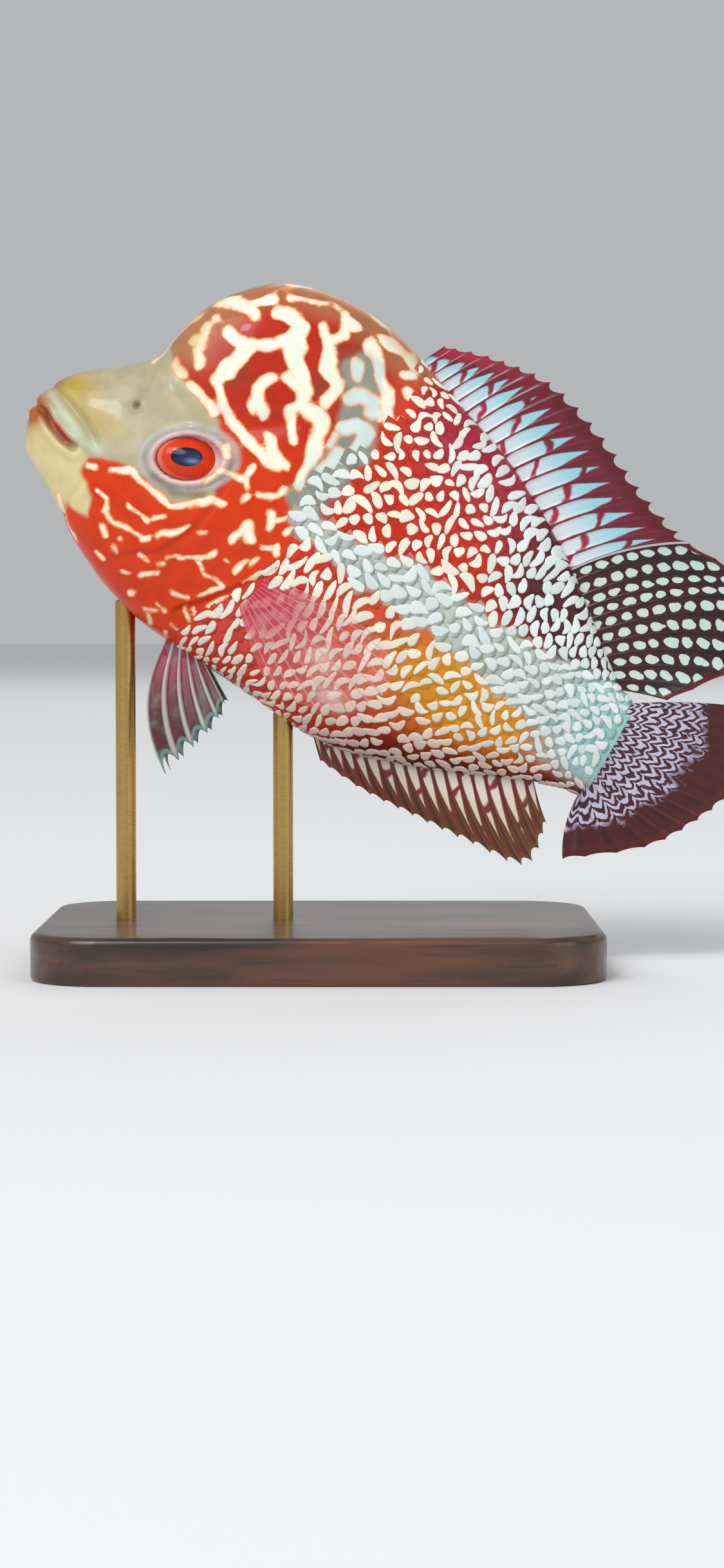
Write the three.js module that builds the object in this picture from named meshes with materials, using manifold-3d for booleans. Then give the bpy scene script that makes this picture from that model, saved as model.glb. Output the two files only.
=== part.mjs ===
// A flowerhorn cichlid, life size, swimming head-up on a plain display stand.
// Units are millimetres and +Z is up. The origin is the middle of the base's underside.
// The fish faces -X and shows its left side to -Y.
//
// The fish is first made in its own frame: x runs back from the mouth along the body's axis,
// z is up through the back, y is across, and the left side is at negative y.
// One group then tilts that frame head-up and lifts it over the base.
import * as THREE from "three";
import { mergeVertices } from "three/addons/utils/BufferGeometryUtils.js";
import Module from "manifold-3d";

const wasm = await Module();
wasm.setup();
const { Manifold, Mesh } = wasm;

// Sizes of the whole model
const PITCH = THREE.MathUtils.degToRad(29.5); // head-up angle of the body's axis
const TURN_X = 45; // place on the body's axis that the tilt turns about
const FISH_X = -12.59; // place of that point along the model, whose box is centred on the origin
const FISH_Z = 48.5; // height of that place over the floor
const TAIL_END = 87; // where the scaled tail stalk ends and the tail fin starts
const GAP = 0.32; // space kept between pieces that touch
const CUT = 0.36; // width of a cut that parts the body
const WIDE = 60; // longer than anything across the fish

// Sizes of the body's mesh
const RINGS_PER_ROW = 2;
const HALF_RING = 17; // points up one side of a section

// Sections of the body from mouth to tail, each along a line from belly to back:
// back x and z, belly x and z, half width, height of the widest place as a share of the line,
// and the exponents that square (under 1) or sharpen (over 1) its upper and lower halves.
const SECTIONS = [
  [0.2, 1.4, 0.2, 1.4, 0.0, 0.5, 1.0, 1.0],
  [0.3, 3.4, 0.7, -0.8, 2.1, 0.5, 0.8, 0.8],
  [0.9, 5.5, 1.8, -3.1, 3.4, 0.48, 0.8, 0.8],
  [2.3, 7.9, 4.0, -4.7, 4.5, 0.45, 0.85, 0.8],
  [5.0, 10.5, 7.0, -6.4, 5.5, 0.42, 0.95, 0.8],
  [8.3, 12.9, 10.0, -8.3, 6.4, 0.42, 0.95, 0.8],
  [11.0, 15.8, 13.0, -10.4, 7.3, 0.42, 0.85, 0.8],
  [12.1, 19.6, 16.0, -12.0, 8.1, 0.42, 0.74, 0.8],
  [13.5, 24.0, 19.0, -13.4, 8.8, 0.42, 0.66, 0.8],
  [16.1, 27.9, 22.2, -14.5, 9.4, 0.42, 0.64, 0.8],
  [20.3, 31.6, 25.6, -15.4, 9.9, 0.42, 0.64, 0.82],
  [25.8, 33.5, 29.6, -15.9, 10.3, 0.42, 0.68, 0.85],
  [31.4, 34.0, 34.2, -16.1, 10.5, 0.42, 0.78, 0.9],
  [37.1, 33.2, 39.2, -16.4, 10.4, 0.43, 0.95, 0.95],
  [42.8, 31.4, 44.6, -16.9, 10.0, 0.44, 1.1, 1.0],
  [49.5, 29.0, 50.5, -17.5, 9.2, 0.45, 1.15, 1.05],
  [56.5, 26.5, 57.0, -17.0, 8.2, 0.45, 1.15, 1.1],
  [63.5, 23.0, 63.5, -15.2, 7.0, 0.46, 1.15, 1.1],
  [70.0, 18.9, 69.5, -13.0, 5.8, 0.47, 1.1, 1.1],
  [75.5, 14.7, 75.0, -10.6, 4.8, 0.48, 1.05, 1.05],
  [80.0, 11.0, 80.0, -8.6, 3.9, 0.49, 1.0, 1.0],
  [83.6, 8.4, 83.6, -7.5, 3.2, 0.5, 1.0, 1.0],
  [TAIL_END, 6.9, TAIL_END, -6.9, 2.6, 0.5, 1.0, 1.0],
];

// Lines on the head, as x and z in the fish's frame
const GAPE = [[-4, 2.7], [0.4, 2.4], [2.3, 2.0], [3.9, 1.0], [6.1, 0.2], [7.9, 0.0]];
const LIP_TOP = [[-4, 6.2], [0.5, 5.6], [3.5, 4.9], [7.5, 3.4], [10.8, 1.3], [11.4, -0.7]];
const LIP_CORNER = [[7.7, 0.05], [9.5, -0.6], [11.5, -0.9]];
const JAW_REAR = [[11.3, -0.8], [10.9, -4.5], [10.4, -8.0], [10.2, -14]];
const HUMP_CREASE = [
  [4, 18.2],
  [10.8, 17.1],
  [14.2, 15.0],
  [17.6, 13.3],
  [21.6, 12.2],
  [26.0, 12.9],
  [30.0, 16.0],
];
const NAPE = [[30.0, 16.0], [33.4, 21.0], [35.4, 28.0], [36.4, 40]];
const HEAD_REAR = [[30.0, 16.0], [34.4, 9.0], [36.2, 2.5], [34.6, -4.5], [31.0, -10.5], [29.5, -22]];
const STALK_FRONT = [[76.5, 24], [75.2, 8], [75.0, -4], [76.0, -20]];
const GILL_COVER_KEYS = [
  [27.8, 10.4],
  [33.4, 9.2],
  [38.2, 4.8],
  [38.8, 0.6],
  [34.8, -5.4],
  [29.6, -11.4],
  [25.4, -11.4],
  [26.6, -2],
];
const GILL_COVER_POINTS = 26; // points in the smooth outline through those keys

// The eye, the nostril and the gill cover's plate
const EYE = { x: 21.5, z: 5.9, y: 7.9, long: 4.15, tall: 2.8, deep: 2.4, roll: 0.5, forward: 0.24, up: 0.2 };
const NOSTRIL = { x: 12.2, z: 8.6, radius: 0.75, depth: 0.9 };
const COVER_THICK = 1.7;
const COVER_RISE = 0.35; // how far the plate stands out of the cheek

// Fins: thickness of the membrane and of the ridge that a ray makes in it
const MEMBRANE = 0.52;
const RAY_ROOT = 1.0;
const RAY_TIP = 0.6;
const FIN_EDGE = 0.32;
const FIN_SINK = 1.6; // how deep a fin's root starts in the body before the body is cut from it

// The stand
const BASE = { long: 72, deep: 52, high: 6, corner: 9, bevel: 1 };
const ROD_RADIUS = 1.3;
const BASE_X = FISH_X - 1; // place of the base's middle, under the weight of the fish
const ROD_X = [FISH_X - 26.3, FISH_X - 5.85];

const SKIN_RED = 0xc8391b;
const SKIN_FACE = 0xbdb58c;
const SKIN_HUMP = 0xc4523a;
const SKIN_FLANK = 0xc98a52;
const SKIN_STALK = 0xa9bdb4;
const FIN_DARK = 0x5a1820;
const FIN_CLEAR = 0xc98a86;
const EYE_RED = 0xd8300c;
const WOOD_DARK = 0x3a261a;
const ROD_METAL = 0xb8a27a;

const clamp01 = (v) => Math.min(1, Math.max(0, v));
const mix = (a, b, t) => a + (b - a) * t;
const smooth = (lo, hi, v) => {
  const t = clamp01((v - lo) / (hi - lo));
  return t * t * (3 - 2 * t);
};

// A row of numbers at a fractional place in a table of rows, on a Catmull-Rom spline.
function spline(rows, place) {
  const i = Math.min(rows.length - 2, Math.max(0, Math.floor(place)));
  const t = place - i;
  const at = (k) => rows[Math.min(rows.length - 1, Math.max(0, k))];
  const [a, b, c, d] = [at(i - 1), at(i), at(i + 1), at(i + 2)];
  return b.map((_, n) => {
    const cubic = 3 * (b[n] - c[n]) + d[n] - a[n];
    const square = 2 * a[n] - 5 * b[n] + 4 * c[n] - d[n];
    return b[n] + 0.5 * t * (c[n] - a[n] + t * (square + t * cubic));
  });
}

// Distance from a point to a polyline, in x and z.
function distanceTo(line, x, z) {
  let best = Infinity;
  for (let i = 1; i < line.length; i++) {
    const [ax, az] = line[i - 1];
    const [bx, bz] = line[i];
    const [dx, dz] = [bx - ax, bz - az];
    const t = clamp01(((x - ax) * dx + (z - az) * dz) / (dx * dx + dz * dz));
    best = Math.min(best, Math.hypot(x - ax - t * dx, z - az - t * dz));
  }
  return best;
}

const bell = (d, width) => Math.exp(-((d / width) ** 2));
const mound = (x, z, cx, cz, rx, rz) => Math.exp(-(((x - cx) / rx) ** 2) - ((z - cz) / rz) ** 2);

// Distance from the eye's middle as a share of its own oval.
function eyeShare(x, z) {
  const [dx, dz] = [x - EYE.x, z - EYE.z];
  const along = dx * Math.cos(EYE.roll) + dz * Math.sin(EYE.roll);
  const across = dz * Math.cos(EYE.roll) - dx * Math.sin(EYE.roll);
  return Math.hypot(along / EYE.long, across / EYE.tall);
}

// How far the side of the body stands out of, or sinks into, its plain section.
function relief(x, z) {
  const behindMouth = 1 - smooth(8.5, 11.5, x);
  return (
    0.9 * mound(x, z, 20.5, 24.5, 8, 6.5) -
    0.75 * bell(distanceTo(HUMP_CREASE, x, z), 1.5) +
    0.6 * mound(x, z, 23.5, -3.5, 5.5, 4.5) -
    0.7 * mound(x, z, 13.5, 8.0, 4, 3.5) +
    0.5 * bell(eyeShare(x, z) - 1.22, 0.2) +
    0.45 * behindMouth * bell(distanceTo(GAPE, x, z) - 1.1, 0.8) -
    0.3 * behindMouth * bell(distanceTo(LIP_TOP, x, z), 0.7)
  );
}

// A point of the body: place along the sections, angle from belly (0) to back (pi) and down again.
function bodyPoint(place, angle, inset) {
  const [bx, bz, vx, vz, half, widest, upper, lower] = spline(SECTIONS, place);
  const length = Math.max(1e-3, Math.hypot(bx - vx, bz - vz));
  const [ux, uz] = [(bx - vx) / length, (bz - vz) / length];
  const up = (1 - Math.cos(angle)) / 2;
  const share = up ** (Math.log(widest) / Math.log(0.5));
  const along = mix(Math.min(inset, length / 2), length - Math.min(inset, length / 2), share);
  const x = vx + ux * along;
  const z = vz + uz * along;
  const round = Math.abs(Math.sin(angle)) ** mix(lower, upper, smooth(0.2, 0.8, up));
  const raised = relief(x, z) * Math.sqrt(round) * smooth(0, 3, half);
  const width = Math.max(0, Math.max(0.05, half - inset) * round + raised);
  return [x, angle < Math.PI ? -width : width, z];
}

// A solid from corner points and triangles, turned to face out.
function solid(points, triangles) {
  const vertProperties = new Float32Array(points.flat());
  const facing = (faces) => {
    const triVerts = new Uint32Array(faces.flat());
    return new Manifold(new Mesh({ numProp: 3, vertProperties, triVerts }));
  };
  const made = facing(triangles);
  return made.volume() > 0 ? made : facing(triangles.map(([a, b, c]) => [a, c, b]));
}

// A three.js geometry as a solid.
function solidOf(geometry) {
  const bare = new THREE.BufferGeometry().setAttribute(
    "position",
    (geometry.index ? geometry.toNonIndexed() : geometry).getAttribute("position"),
  );
  const merged = mergeVertices(bare, 1e-4);
  return new Manifold(
    new Mesh({
      numProp: 3,
      vertProperties: merged.attributes.position.array,
      triVerts: new Uint32Array(merged.index.array),
    }),
  );
}

// The whole body, set in by inset, or grown outwards along its normals by grow.
function bodySolid({ inset = 0, grow = 0 } = {}) {
  const rings = (SECTIONS.length - 1) * RINGS_PER_ROW;
  const around = HALF_RING * 2;
  const points = [bodyPoint(0, 0, 0)];
  for (let r = 1; r <= rings; r++)
    for (let k = 0; k < around; k++) {
      const angle = (Math.PI * k) / HALF_RING;
      points.push(bodyPoint(r / RINGS_PER_ROW, angle, inset));
    }
  const tail = points.push([TAIL_END, 0, 0]) - 1;
  const at = (r, k) => 1 + (r - 1) * around + ((k + around) % around);
  const triangles = [];
  for (let k = 0; k < around; k++) {
    triangles.push([0, at(1, k + 1), at(1, k)]);
    triangles.push([tail, at(rings, k), at(rings, k + 1)]);
    for (let r = 1; r < rings; r++) {
      triangles.push([at(r, k), at(r, k + 1), at(r + 1, k)]);
      triangles.push([at(r + 1, k), at(r, k + 1), at(r + 1, k + 1)]);
    }
  }
  if (grow) moveAlongNormals(points, triangles, grow);
  return solid(points, triangles);
}

// Moves each point out along the mean normal of the triangles round it.
function moveAlongNormals(points, triangles, distance) {
  const normals = points.map(() => new THREE.Vector3());
  const corner = (i) => new THREE.Vector3(...points[i]);
  for (const [a, b, c] of triangles) {
    const face = corner(c).sub(corner(a)).cross(corner(b).sub(corner(a)));
    for (const i of [a, b, c]) normals[i].add(face);
  }
  normals.forEach((normal, i) => {
    points[i] = corner(i).addScaledVector(normal.normalize(), distance).toArray();
  });
}

// A prism across the fish over a closed outline in x and z.
function prism(outline, from = -WIDE, to = WIDE) {
  const shape = new THREE.Shape(outline.map(([x, z]) => new THREE.Vector2(x, z)));
  const geometry = new THREE.ExtrudeGeometry(shape, { depth: to - from, bevelEnabled: false });
  geometry.rotateX(Math.PI / 2);
  geometry.translate(0, to, 0);
  return solidOf(geometry);
}

// Points of a polyline moved sideways by a distance, to its left as it runs.
function shifted(line, distance) {
  return line.map(([x, z], i) => {
    const [ax, az] = line[Math.max(0, i - 1)];
    const [bx, bz] = line[Math.min(line.length - 1, i + 1)];
    const length = Math.hypot(bx - ax, bz - az);
    const step = typeof distance === "function" ? distance(x) : distance;
    return [x - ((bz - az) / length) * step, z + ((bx - ax) / length) * step];
  });
}

// A thin cut right across the fish along a polyline.
function slit(line, width = CUT) {
  const half = typeof width === "function" ? (x) => width(x) / 2 : width / 2;
  const other = typeof width === "function" ? (x) => -width(x) / 2 : -width / 2;
  return prism([...shifted(line, half), ...shifted(line, other).reverse()]);
}

// An outline grown outwards, for the pocket that a plate lies in. The outline runs clockwise.
function grown(outline, distance) {
  return outline.map(([x, z], i) => {
    const [ax, az] = outline[(i + outline.length - 1) % outline.length];
    const [bx, bz] = outline[(i + 1) % outline.length];
    const length = Math.hypot(bx - ax, bz - az);
    return [x - ((bz - az) / length) * distance, z + ((bx - ax) / length) * distance];
  });
}

// The largest of the closed bodies in a solid.
function largest(made) {
  const bodies = made.decompose().sort((a, b) => b.volume() - a.volume());
  return bodies[0];
}

// The eye as a flattened ball that looks out, a little forward and up. Side is -1 for left.
function eyeSolid(side, extra) {
  const geometry = new THREE.SphereGeometry(1, 18, 12);
  geometry.scale(EYE.long + extra, EYE.deep + extra, EYE.tall + extra);
  geometry.rotateY(-EYE.roll);
  geometry.rotateZ(side * -EYE.forward);
  geometry.rotateX(side * EYE.up);
  geometry.translate(EYE.x, side * EYE.y, EYE.z);
  return solidOf(geometry);
}

// The nostril's pit.
function nostrilPit(side) {
  const geometry = new THREE.SphereGeometry(1, 10, 8);
  geometry.scale(NOSTRIL.radius, NOSTRIL.depth, NOSTRIL.radius);
  const half = sideOf(NOSTRIL.x, NOSTRIL.z);
  geometry.translate(NOSTRIL.x, side * half, NOSTRIL.z);
  return solidOf(geometry);
}

// Half width of the body's surface at the point of its sections nearest to x and z.
function sideOf(x, z) {
  let best = [Infinity, 0];
  for (let place = 1; place < SECTIONS.length - 1; place += 0.1)
    for (let k = 1; k < HALF_RING; k++) {
      const [px, py, pz] = bodyPoint(place, (Math.PI * k) / HALF_RING, 0);
      const away = Math.hypot(px - x, pz - z);
      if (away < best[0]) best = [away, -py];
    }
  return best[1];
}

// Place of the back's or belly's outline at x, as x and z, found by halving.
function outlineAt(x, back) {
  let low = 6;
  let high = SECTIONS.length - 1;
  const column = back ? 0 : 2;
  for (let i = 0; i < 40; i++) {
    const middle = (low + high) / 2;
    if (spline(SECTIONS, middle)[column] < x) low = middle;
    else high = middle;
  }
  const row = spline(SECTIONS, (low + high) / 2);
  return [row[column], row[column + 1]];
}

// A fin from its rays. Each ray gives points from root to tip through along(share), with share from 0 to 1.
// A ridge runs down each ray, and the membrane between rays ends short of their tips by the notch.
function finSolid({ rays, steps, side, notch, thickness, spread = 1 }) {
  const columns = [];
  const count = rays.length;
  for (let i = 0; i < count; i++) {
    columns.push({ at: i, ridge: 1 });
    if (i < count - 1)
      for (let k = 1; k <= spread; k++) columns.push({ at: i + k / (spread + 1), ridge: 0 });
  }
  const points = [];
  for (const face of [1, -1])
    for (const { at, ridge } of columns) {
      const i = Math.min(count - 2, Math.floor(at));
      const t = at - i;
      const reach = 1 - (1 - ridge) * notch(at);
      for (let s = 0; s <= steps; s++) {
        const share = (s / steps) * reach;
        const [a, b] = [rays[i](share), rays[i + 1](share)];
        const middle = a.map((v, n) => mix(v, b[n], t));
        const half = thickness(s / steps, ridge, at) / 2;
        const out = side(at, share);
        points.push(middle.map((v, n) => v + out[n] * half * face));
      }
    }
  const total = columns.length;
  const at = (face, c, s) => face * total * (steps + 1) + c * (steps + 1) + s;
  const triangles = [];
  const quad = (a, b, c, d) => triangles.push([a, b, c], [a, c, d]);
  for (let c = 0; c < total - 1; c++) {
    for (let s = 0; s < steps; s++) {
      quad(at(0, c, s), at(0, c + 1, s), at(0, c + 1, s + 1), at(0, c, s + 1));
      quad(at(1, c, s + 1), at(1, c + 1, s + 1), at(1, c + 1, s), at(1, c, s));
    }
    quad(at(1, c, 0), at(1, c + 1, 0), at(0, c + 1, 0), at(0, c, 0));
    quad(at(0, c, steps), at(0, c + 1, steps), at(1, c + 1, steps), at(1, c, steps));
  }
  for (let s = 0; s < steps; s++) {
    quad(at(0, 0, s), at(0, 0, s + 1), at(1, 0, s + 1), at(1, 0, s));
    quad(at(1, total - 1, s), at(1, total - 1, s + 1), at(0, total - 1, s + 1), at(0, total - 1, s));
  }
  return solid(points, triangles);
}

// A ray that leaves its root, bows to one side and ends at its tip, with a sideways sway.
function ray(root, tip, bow, sway = () => 0) {
  const [dx, dz] = [tip[0] - root[0], tip[1] - root[1]];
  return (share) => {
    const lift = 4 * share * (1 - share) * bow;
    return [root[0] + dx * share - dz * lift, sway(share), root[1] + dz * share + dx * lift];
  };
}

// Root, tip and bow of ray number i, from a few key rays spread over the fin.
const rayFrom = (keys, i, count) => spline(keys, ((keys.length - 1) * i) / (count - 1));

const finThickness = (root, tip) => (share, ridge) => {
  const thick = ridge ? mix(root, tip, share) : MEMBRANE;
  return share >= 1 ? FIN_EDGE : thick;
};

// Rays of the fin along the back or the belly. Keys hold root x, tip x, tip z and bow.
function medianRays(keys, count, back, sway) {
  return Array.from({ length: count }, (_, i) => {
    const [rootX, tipX, tipZ, bow] = rayFrom(keys, i, count);
    const [x, z] = outlineAt(rootX, back);
    const length = Math.hypot(tipX - x, tipZ - z);
    const root = [x - ((tipX - x) / length) * FIN_SINK, z - ((tipZ - z) / length) * FIN_SINK];
    return ray(root, [tipX, tipZ], bow, (share) => sway(i / (count - 1), share));
  });
}

const ACROSS = () => [0, 1, 0];

// Keys of the fins along the midline: root x, tip x, tip z and bow
const DORSAL_SPINES = 17;
const DORSAL_SPINE_KEYS = [
  [41.0, 42.6, 35.0, 0.0],
  [45.5, 49.4, 37.0, 0.02],
  [51.5, 57.2, 37.6, 0.03],
  [58.0, 66.0, 35.0, 0.04],
  [65.0, 74.4, 31.2, 0.05],
  [71.2, 82.4, 28.6, 0.06],
];
const DORSAL_SOFT_RAYS = 11;
const DORSAL_SOFT_KEYS = [
  [71.7, 82.95, 28.5, 0.06],
  [74.4, 92.0, 28.6, 0.08],
  [77.0, 102.4, 29.2, 0.09],
  [79.6, 99.0, 22.6, 0.07],
  [82.2, 95.0, 15.8, 0.05],
  [84.8, 90.2, 9.4, 0.02],
];
const ANAL_RAYS = 16;
const ANAL_KEYS = [
  [52.6, 55.0, -19.7, 0.0],
  [57.6, 62.0, -20.3, -0.03],
  [63.6, 69.4, -19.9, -0.04],
  [69.6, 77.2, -19.3, -0.05],
  [75.4, 85.0, -18.2, -0.06],
  [80.6, 84.6, -12.2, -0.03],
];
const CAUDAL_RAYS = 16;
// Tail fin: root z, tip x, tip z and bow
const CAUDAL_KEYS = [
  [6.7, 101.0, 14.2, 0.03],
  [4.2, 104.2, 9.4, 0.02],
  [1.6, 104.0, 4.0, 0.0],
  [-1.4, 101.6, -2.2, -0.02],
  [-4.2, 97.2, -8.6, -0.04],
  [-6.7, 88.6, -15.2, -0.08],
];
const CAUDAL_ROOT_THICK = 3.6;

function dorsalSpiny() {
  const sway = (along, share) => 0.5 * Math.sin(along * 9) * share;
  return finSolid({
    rays: medianRays(DORSAL_SPINE_KEYS, DORSAL_SPINES, true, sway),
    steps: 6,
    side: ACROSS,
    notch: () => 0.1,
    thickness: finThickness(RAY_ROOT, RAY_TIP),
  });
}

function dorsalSoft() {
  const sway = (along, share) => (0.5 * Math.sin(9) + 1.6 * Math.sin(along * 5)) * share * share;
  return finSolid({
    rays: medianRays(DORSAL_SOFT_KEYS, DORSAL_SOFT_RAYS, true, sway),
    steps: 9,
    side: ACROSS,
    notch: () => 0.025,
    thickness: finThickness(RAY_ROOT, RAY_TIP),
  });
}

function analFin() {
  const sway = (along, share) => 0.9 * Math.sin(along * 7) * share;
  return finSolid({
    rays: medianRays(ANAL_KEYS, ANAL_RAYS, false, sway),
    steps: 6,
    side: ACROSS,
    notch: (at) => (at < 7 ? 0.16 : 0.05),
    thickness: finThickness(RAY_ROOT, RAY_TIP),
  });
}

function caudalFin() {
  const rays = Array.from({ length: CAUDAL_RAYS }, (_, i) => {
    const [rootZ, tipX, tipZ, bow] = rayFrom(CAUDAL_KEYS, i, CAUDAL_RAYS);
    const along = i / (CAUDAL_RAYS - 1);
    const sway = (share) => 1.3 * Math.sin(along * 6 - 1) * share * share;
    return ray([TAIL_END + GAP, rootZ], [tipX, tipZ], bow, sway);
  });
  const plain = finThickness(RAY_ROOT, RAY_TIP);
  return finSolid({
    rays,
    steps: 9,
    side: ACROSS,
    notch: () => 0.03,
    thickness: (share, ridge) => Math.max(plain(share, ridge), CAUDAL_ROOT_THICK * (1 - share / 0.35)),
  });
}

// The paired fins. Keys hold root x, y and z, tip x, y and z, and bow, for the left fin with y outwards.
const PECTORAL_RAYS = 12;
const PECTORAL_KEYS = [
  [37.4, 9.2, -2.6, 54.6, 12.4, -2.2, 0.06],
  [37.4, 9.2, -3.8, 57.8, 13.0, -6.0, 0.04],
  [37.1, 9.1, -5.0, 56.2, 13.2, -10.4, 0.02],
  [36.8, 9.0, -6.2, 50.6, 12.8, -13.8, 0.0],
  [36.4, 8.8, -7.4, 44.6, 12.0, -14.2, -0.03],
];
const PELVIC_RAYS = 6;
const PELVIC_KEYS = [
  [30.2, 1.7, -14.6, 38.4, 5.2, -30.6, -0.15],
  [31.2, 1.9, -14.6, 39.2, 5.6, -27.6, -0.1],
  [32.2, 2.1, -14.7, 40.2, 5.8, -24.6, -0.06],
  [33.2, 2.2, -14.8, 40.8, 5.6, -21.6, -0.03],
  [34.2, 2.2, -14.9, 40.6, 5.0, -19.0, 0.0],
];

// A paired fin. Side is -1 for the left fin.
function pairedFin(keys, count, side, { steps, notch, root, tip, lobe }) {
  const rays = Array.from({ length: count }, (_, i) => {
    const [rx, ry, rz, tx, ty, tz, bow] = rayFrom(keys, i, count);
    const flat = ray([rx, rz], [tx, tz], bow);
    return (share) => {
      const [x, , z] = flat(share);
      return [x, side * mix(ry, ty, share), z];
    };
  });
  const first = new THREE.Vector3(...rays[0](1)).sub(new THREE.Vector3(...rays[0](0)));
  const last = new THREE.Vector3(...rays[count - 1](1)).sub(new THREE.Vector3(...rays[count - 1](0)));
  const out = first.cross(last).normalize().toArray();
  const plain = finThickness(root, tip);
  return finSolid({
    rays,
    steps,
    side: () => out,
    notch: () => notch,
    thickness: (share, ridge) => Math.max(plain(share, ridge), lobe * (1 - share / 0.22)),
  });
}

const PECTORAL = { steps: 6, notch: 0.02, root: 0.8, tip: 0.55, lobe: 1.6 };
const PELVIC = { steps: 8, notch: 0.1, root: 1.1, tip: 0.6, lobe: 2.0 };

const root = new THREE.Group();
const fish = new THREE.Group();
fish.rotation.y = PITCH;
fish.position.set(
  FISH_X - TURN_X * Math.cos(PITCH),
  0,
  FISH_Z + TURN_X * Math.sin(PITCH),
);
root.add(fish);
fish.updateMatrix();

// Adds a solid to a group as a named mesh with its own material.
function addMesh(group, name, made, color, roughness = 0.45, metalness = 0) {
  const mesh = made.getMesh();
  const geometry = new THREE.BufferGeometry();
  const corners = new Float32Array(mesh.numVert * 3);
  for (let i = 0; i < mesh.numVert; i++)
    corners.set(mesh.vertProperties.subarray(i * mesh.numProp, i * mesh.numProp + 3), i * 3);
  geometry.setAttribute("position", new THREE.BufferAttribute(corners, 3));
  geometry.setIndex(new THREE.BufferAttribute(mesh.triVerts, 1));
  geometry.computeVertexNormals();
  const shown = new THREE.Mesh(geometry, new THREE.MeshStandardMaterial({ color, roughness, metalness }));
  shown.name = name;
  group.add(shown);
}

// The body, whole, and grown a little as the tool that keeps the fins and rods clear of it
const body = bodySolid();
const bodyTool = bodySolid({ grow: GAP });
const core = bodySolid({ inset: COVER_THICK });
const coverSkin = bodySolid({ grow: COVER_RISE });
const coverPocketCore = bodySolid({ inset: COVER_THICK + GAP });

// Gill covers: plates that stand a little proud, each in a pocket of its own
const coverKeys = GILL_COVER_KEYS.map(([x, z]) => new THREE.Vector3(x, 0, z));
const coverCurve = new THREE.CatmullRomCurve3(coverKeys, true);
const coverOutline = coverCurve.getPoints(GILL_COVER_POINTS).slice(1).map((p) => [p.x, p.z]);
const coverRing = coverSkin.intersect(prism(coverOutline)).subtract(core);
const coverPocket = prism(grown(coverOutline, GAP)).subtract(coverPocketCore);
const covers = {
  left: largest(coverRing.intersect(prism(coverOutline, -WIDE, -1))),
  right: largest(coverRing.intersect(prism(coverOutline, 1, WIDE))),
};
const coverTool = prism(grown(coverOutline, GAP)).intersect(bodySolid({ grow: COVER_RISE + GAP }));

// The rest of the body, parted by thin cuts
const gapeWidth = (x) => mix(0.9, CUT, smooth(0, 7, x));
const cuts = [
  slit(GAPE, gapeWidth),
  slit(LIP_CORNER),
  slit(LIP_TOP),
  slit(JAW_REAR),
  slit(HUMP_CREASE),
  slit(NAPE),
  slit(HEAD_REAR),
  slit(STALK_FRONT),
  coverPocket,
  eyeSolid(-1, GAP),
  eyeSolid(1, GAP),
  nostrilPit(-1),
  nostrilPit(1),
];
const pieces = Manifold.difference([body, ...cuts])
  .decompose()
  .filter((piece) => piece.volume() > 1);

// Each piece of the body by a place that its middle is near, in x and z
const BODY_PIECES = [
  ["upper_jaw", [5, 3], SKIN_FACE],
  ["lower_jaw", [6, -3.5], SKIN_FACE],
  ["head", [20, 0], SKIN_RED],
  ["nuchal_hump", [23, 24], SKIN_HUMP],
  ["torso", [50, 6], SKIN_FLANK],
  ["tail_stalk", [80, 0], SKIN_STALK],
];
for (const [name, [x, z], color] of BODY_PIECES) {
  const away = (piece) => {
    const box = piece.boundingBox();
    return Math.hypot((box.min[0] + box.max[0]) / 2 - x, (box.min[2] + box.max[2]) / 2 - z);
  };
  const found = pieces.reduce((a, b) => (away(b) < away(a) ? b : a));
  addMesh(fish, name, found, color);
}

for (const [word, side] of [["left", -1], ["right", 1]]) {
  addMesh(fish, `gill_cover_${word}`, covers[word], SKIN_RED);
  addMesh(fish, `eye_${word}`, eyeSolid(side, 0), EYE_RED, 0.1);
  const pectoral = pairedFin(PECTORAL_KEYS, PECTORAL_RAYS, side, PECTORAL);
  const trimmed = largest(pectoral.subtract(bodyTool).subtract(coverTool));
  addMesh(fish, `pectoral_fin_${word}`, trimmed, FIN_CLEAR, 0.3);
  const pelvic = pairedFin(PELVIC_KEYS, PELVIC_RAYS, side, PELVIC);
  addMesh(fish, `pelvic_fin_${word}`, largest(pelvic.subtract(bodyTool)), FIN_DARK, 0.4);
}
addMesh(fish, "dorsal_fin_spiny", largest(dorsalSpiny().subtract(bodyTool)), FIN_DARK, 0.4);
addMesh(fish, "dorsal_fin_soft", largest(dorsalSoft().subtract(bodyTool)), FIN_DARK, 0.4);
addMesh(fish, "anal_fin", largest(analFin().subtract(bodyTool)), FIN_DARK, 0.4);
addMesh(fish, "caudal_fin", caudalFin(), FIN_DARK, 0.4);

// The stand: a flat base with a bevelled edge, and two rods that reach up to the belly
function baseSolid() {
  const [w, d] = [BASE.long / 2 - BASE.bevel, BASE.deep / 2 - BASE.bevel];
  const r = BASE.corner;
  const shape = new THREE.Shape();
  shape.moveTo(-w + r, -d);
  shape.lineTo(w - r, -d);
  shape.absarc(w - r, -d + r, r, -Math.PI / 2, 0);
  shape.absarc(w - r, d - r, r, 0, Math.PI / 2);
  shape.absarc(-w + r, d - r, r, Math.PI / 2, Math.PI);
  shape.absarc(-w + r, -d + r, r, Math.PI, 1.5 * Math.PI);
  const geometry = new THREE.ExtrudeGeometry(shape, {
    depth: BASE.high - 2 * BASE.bevel,
    bevelThickness: BASE.bevel,
    bevelSize: BASE.bevel,
    bevelSegments: 2,
    curveSegments: 6,
  });
  geometry.translate(BASE_X, 0, BASE.bevel);
  return solidOf(geometry);
}
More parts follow.
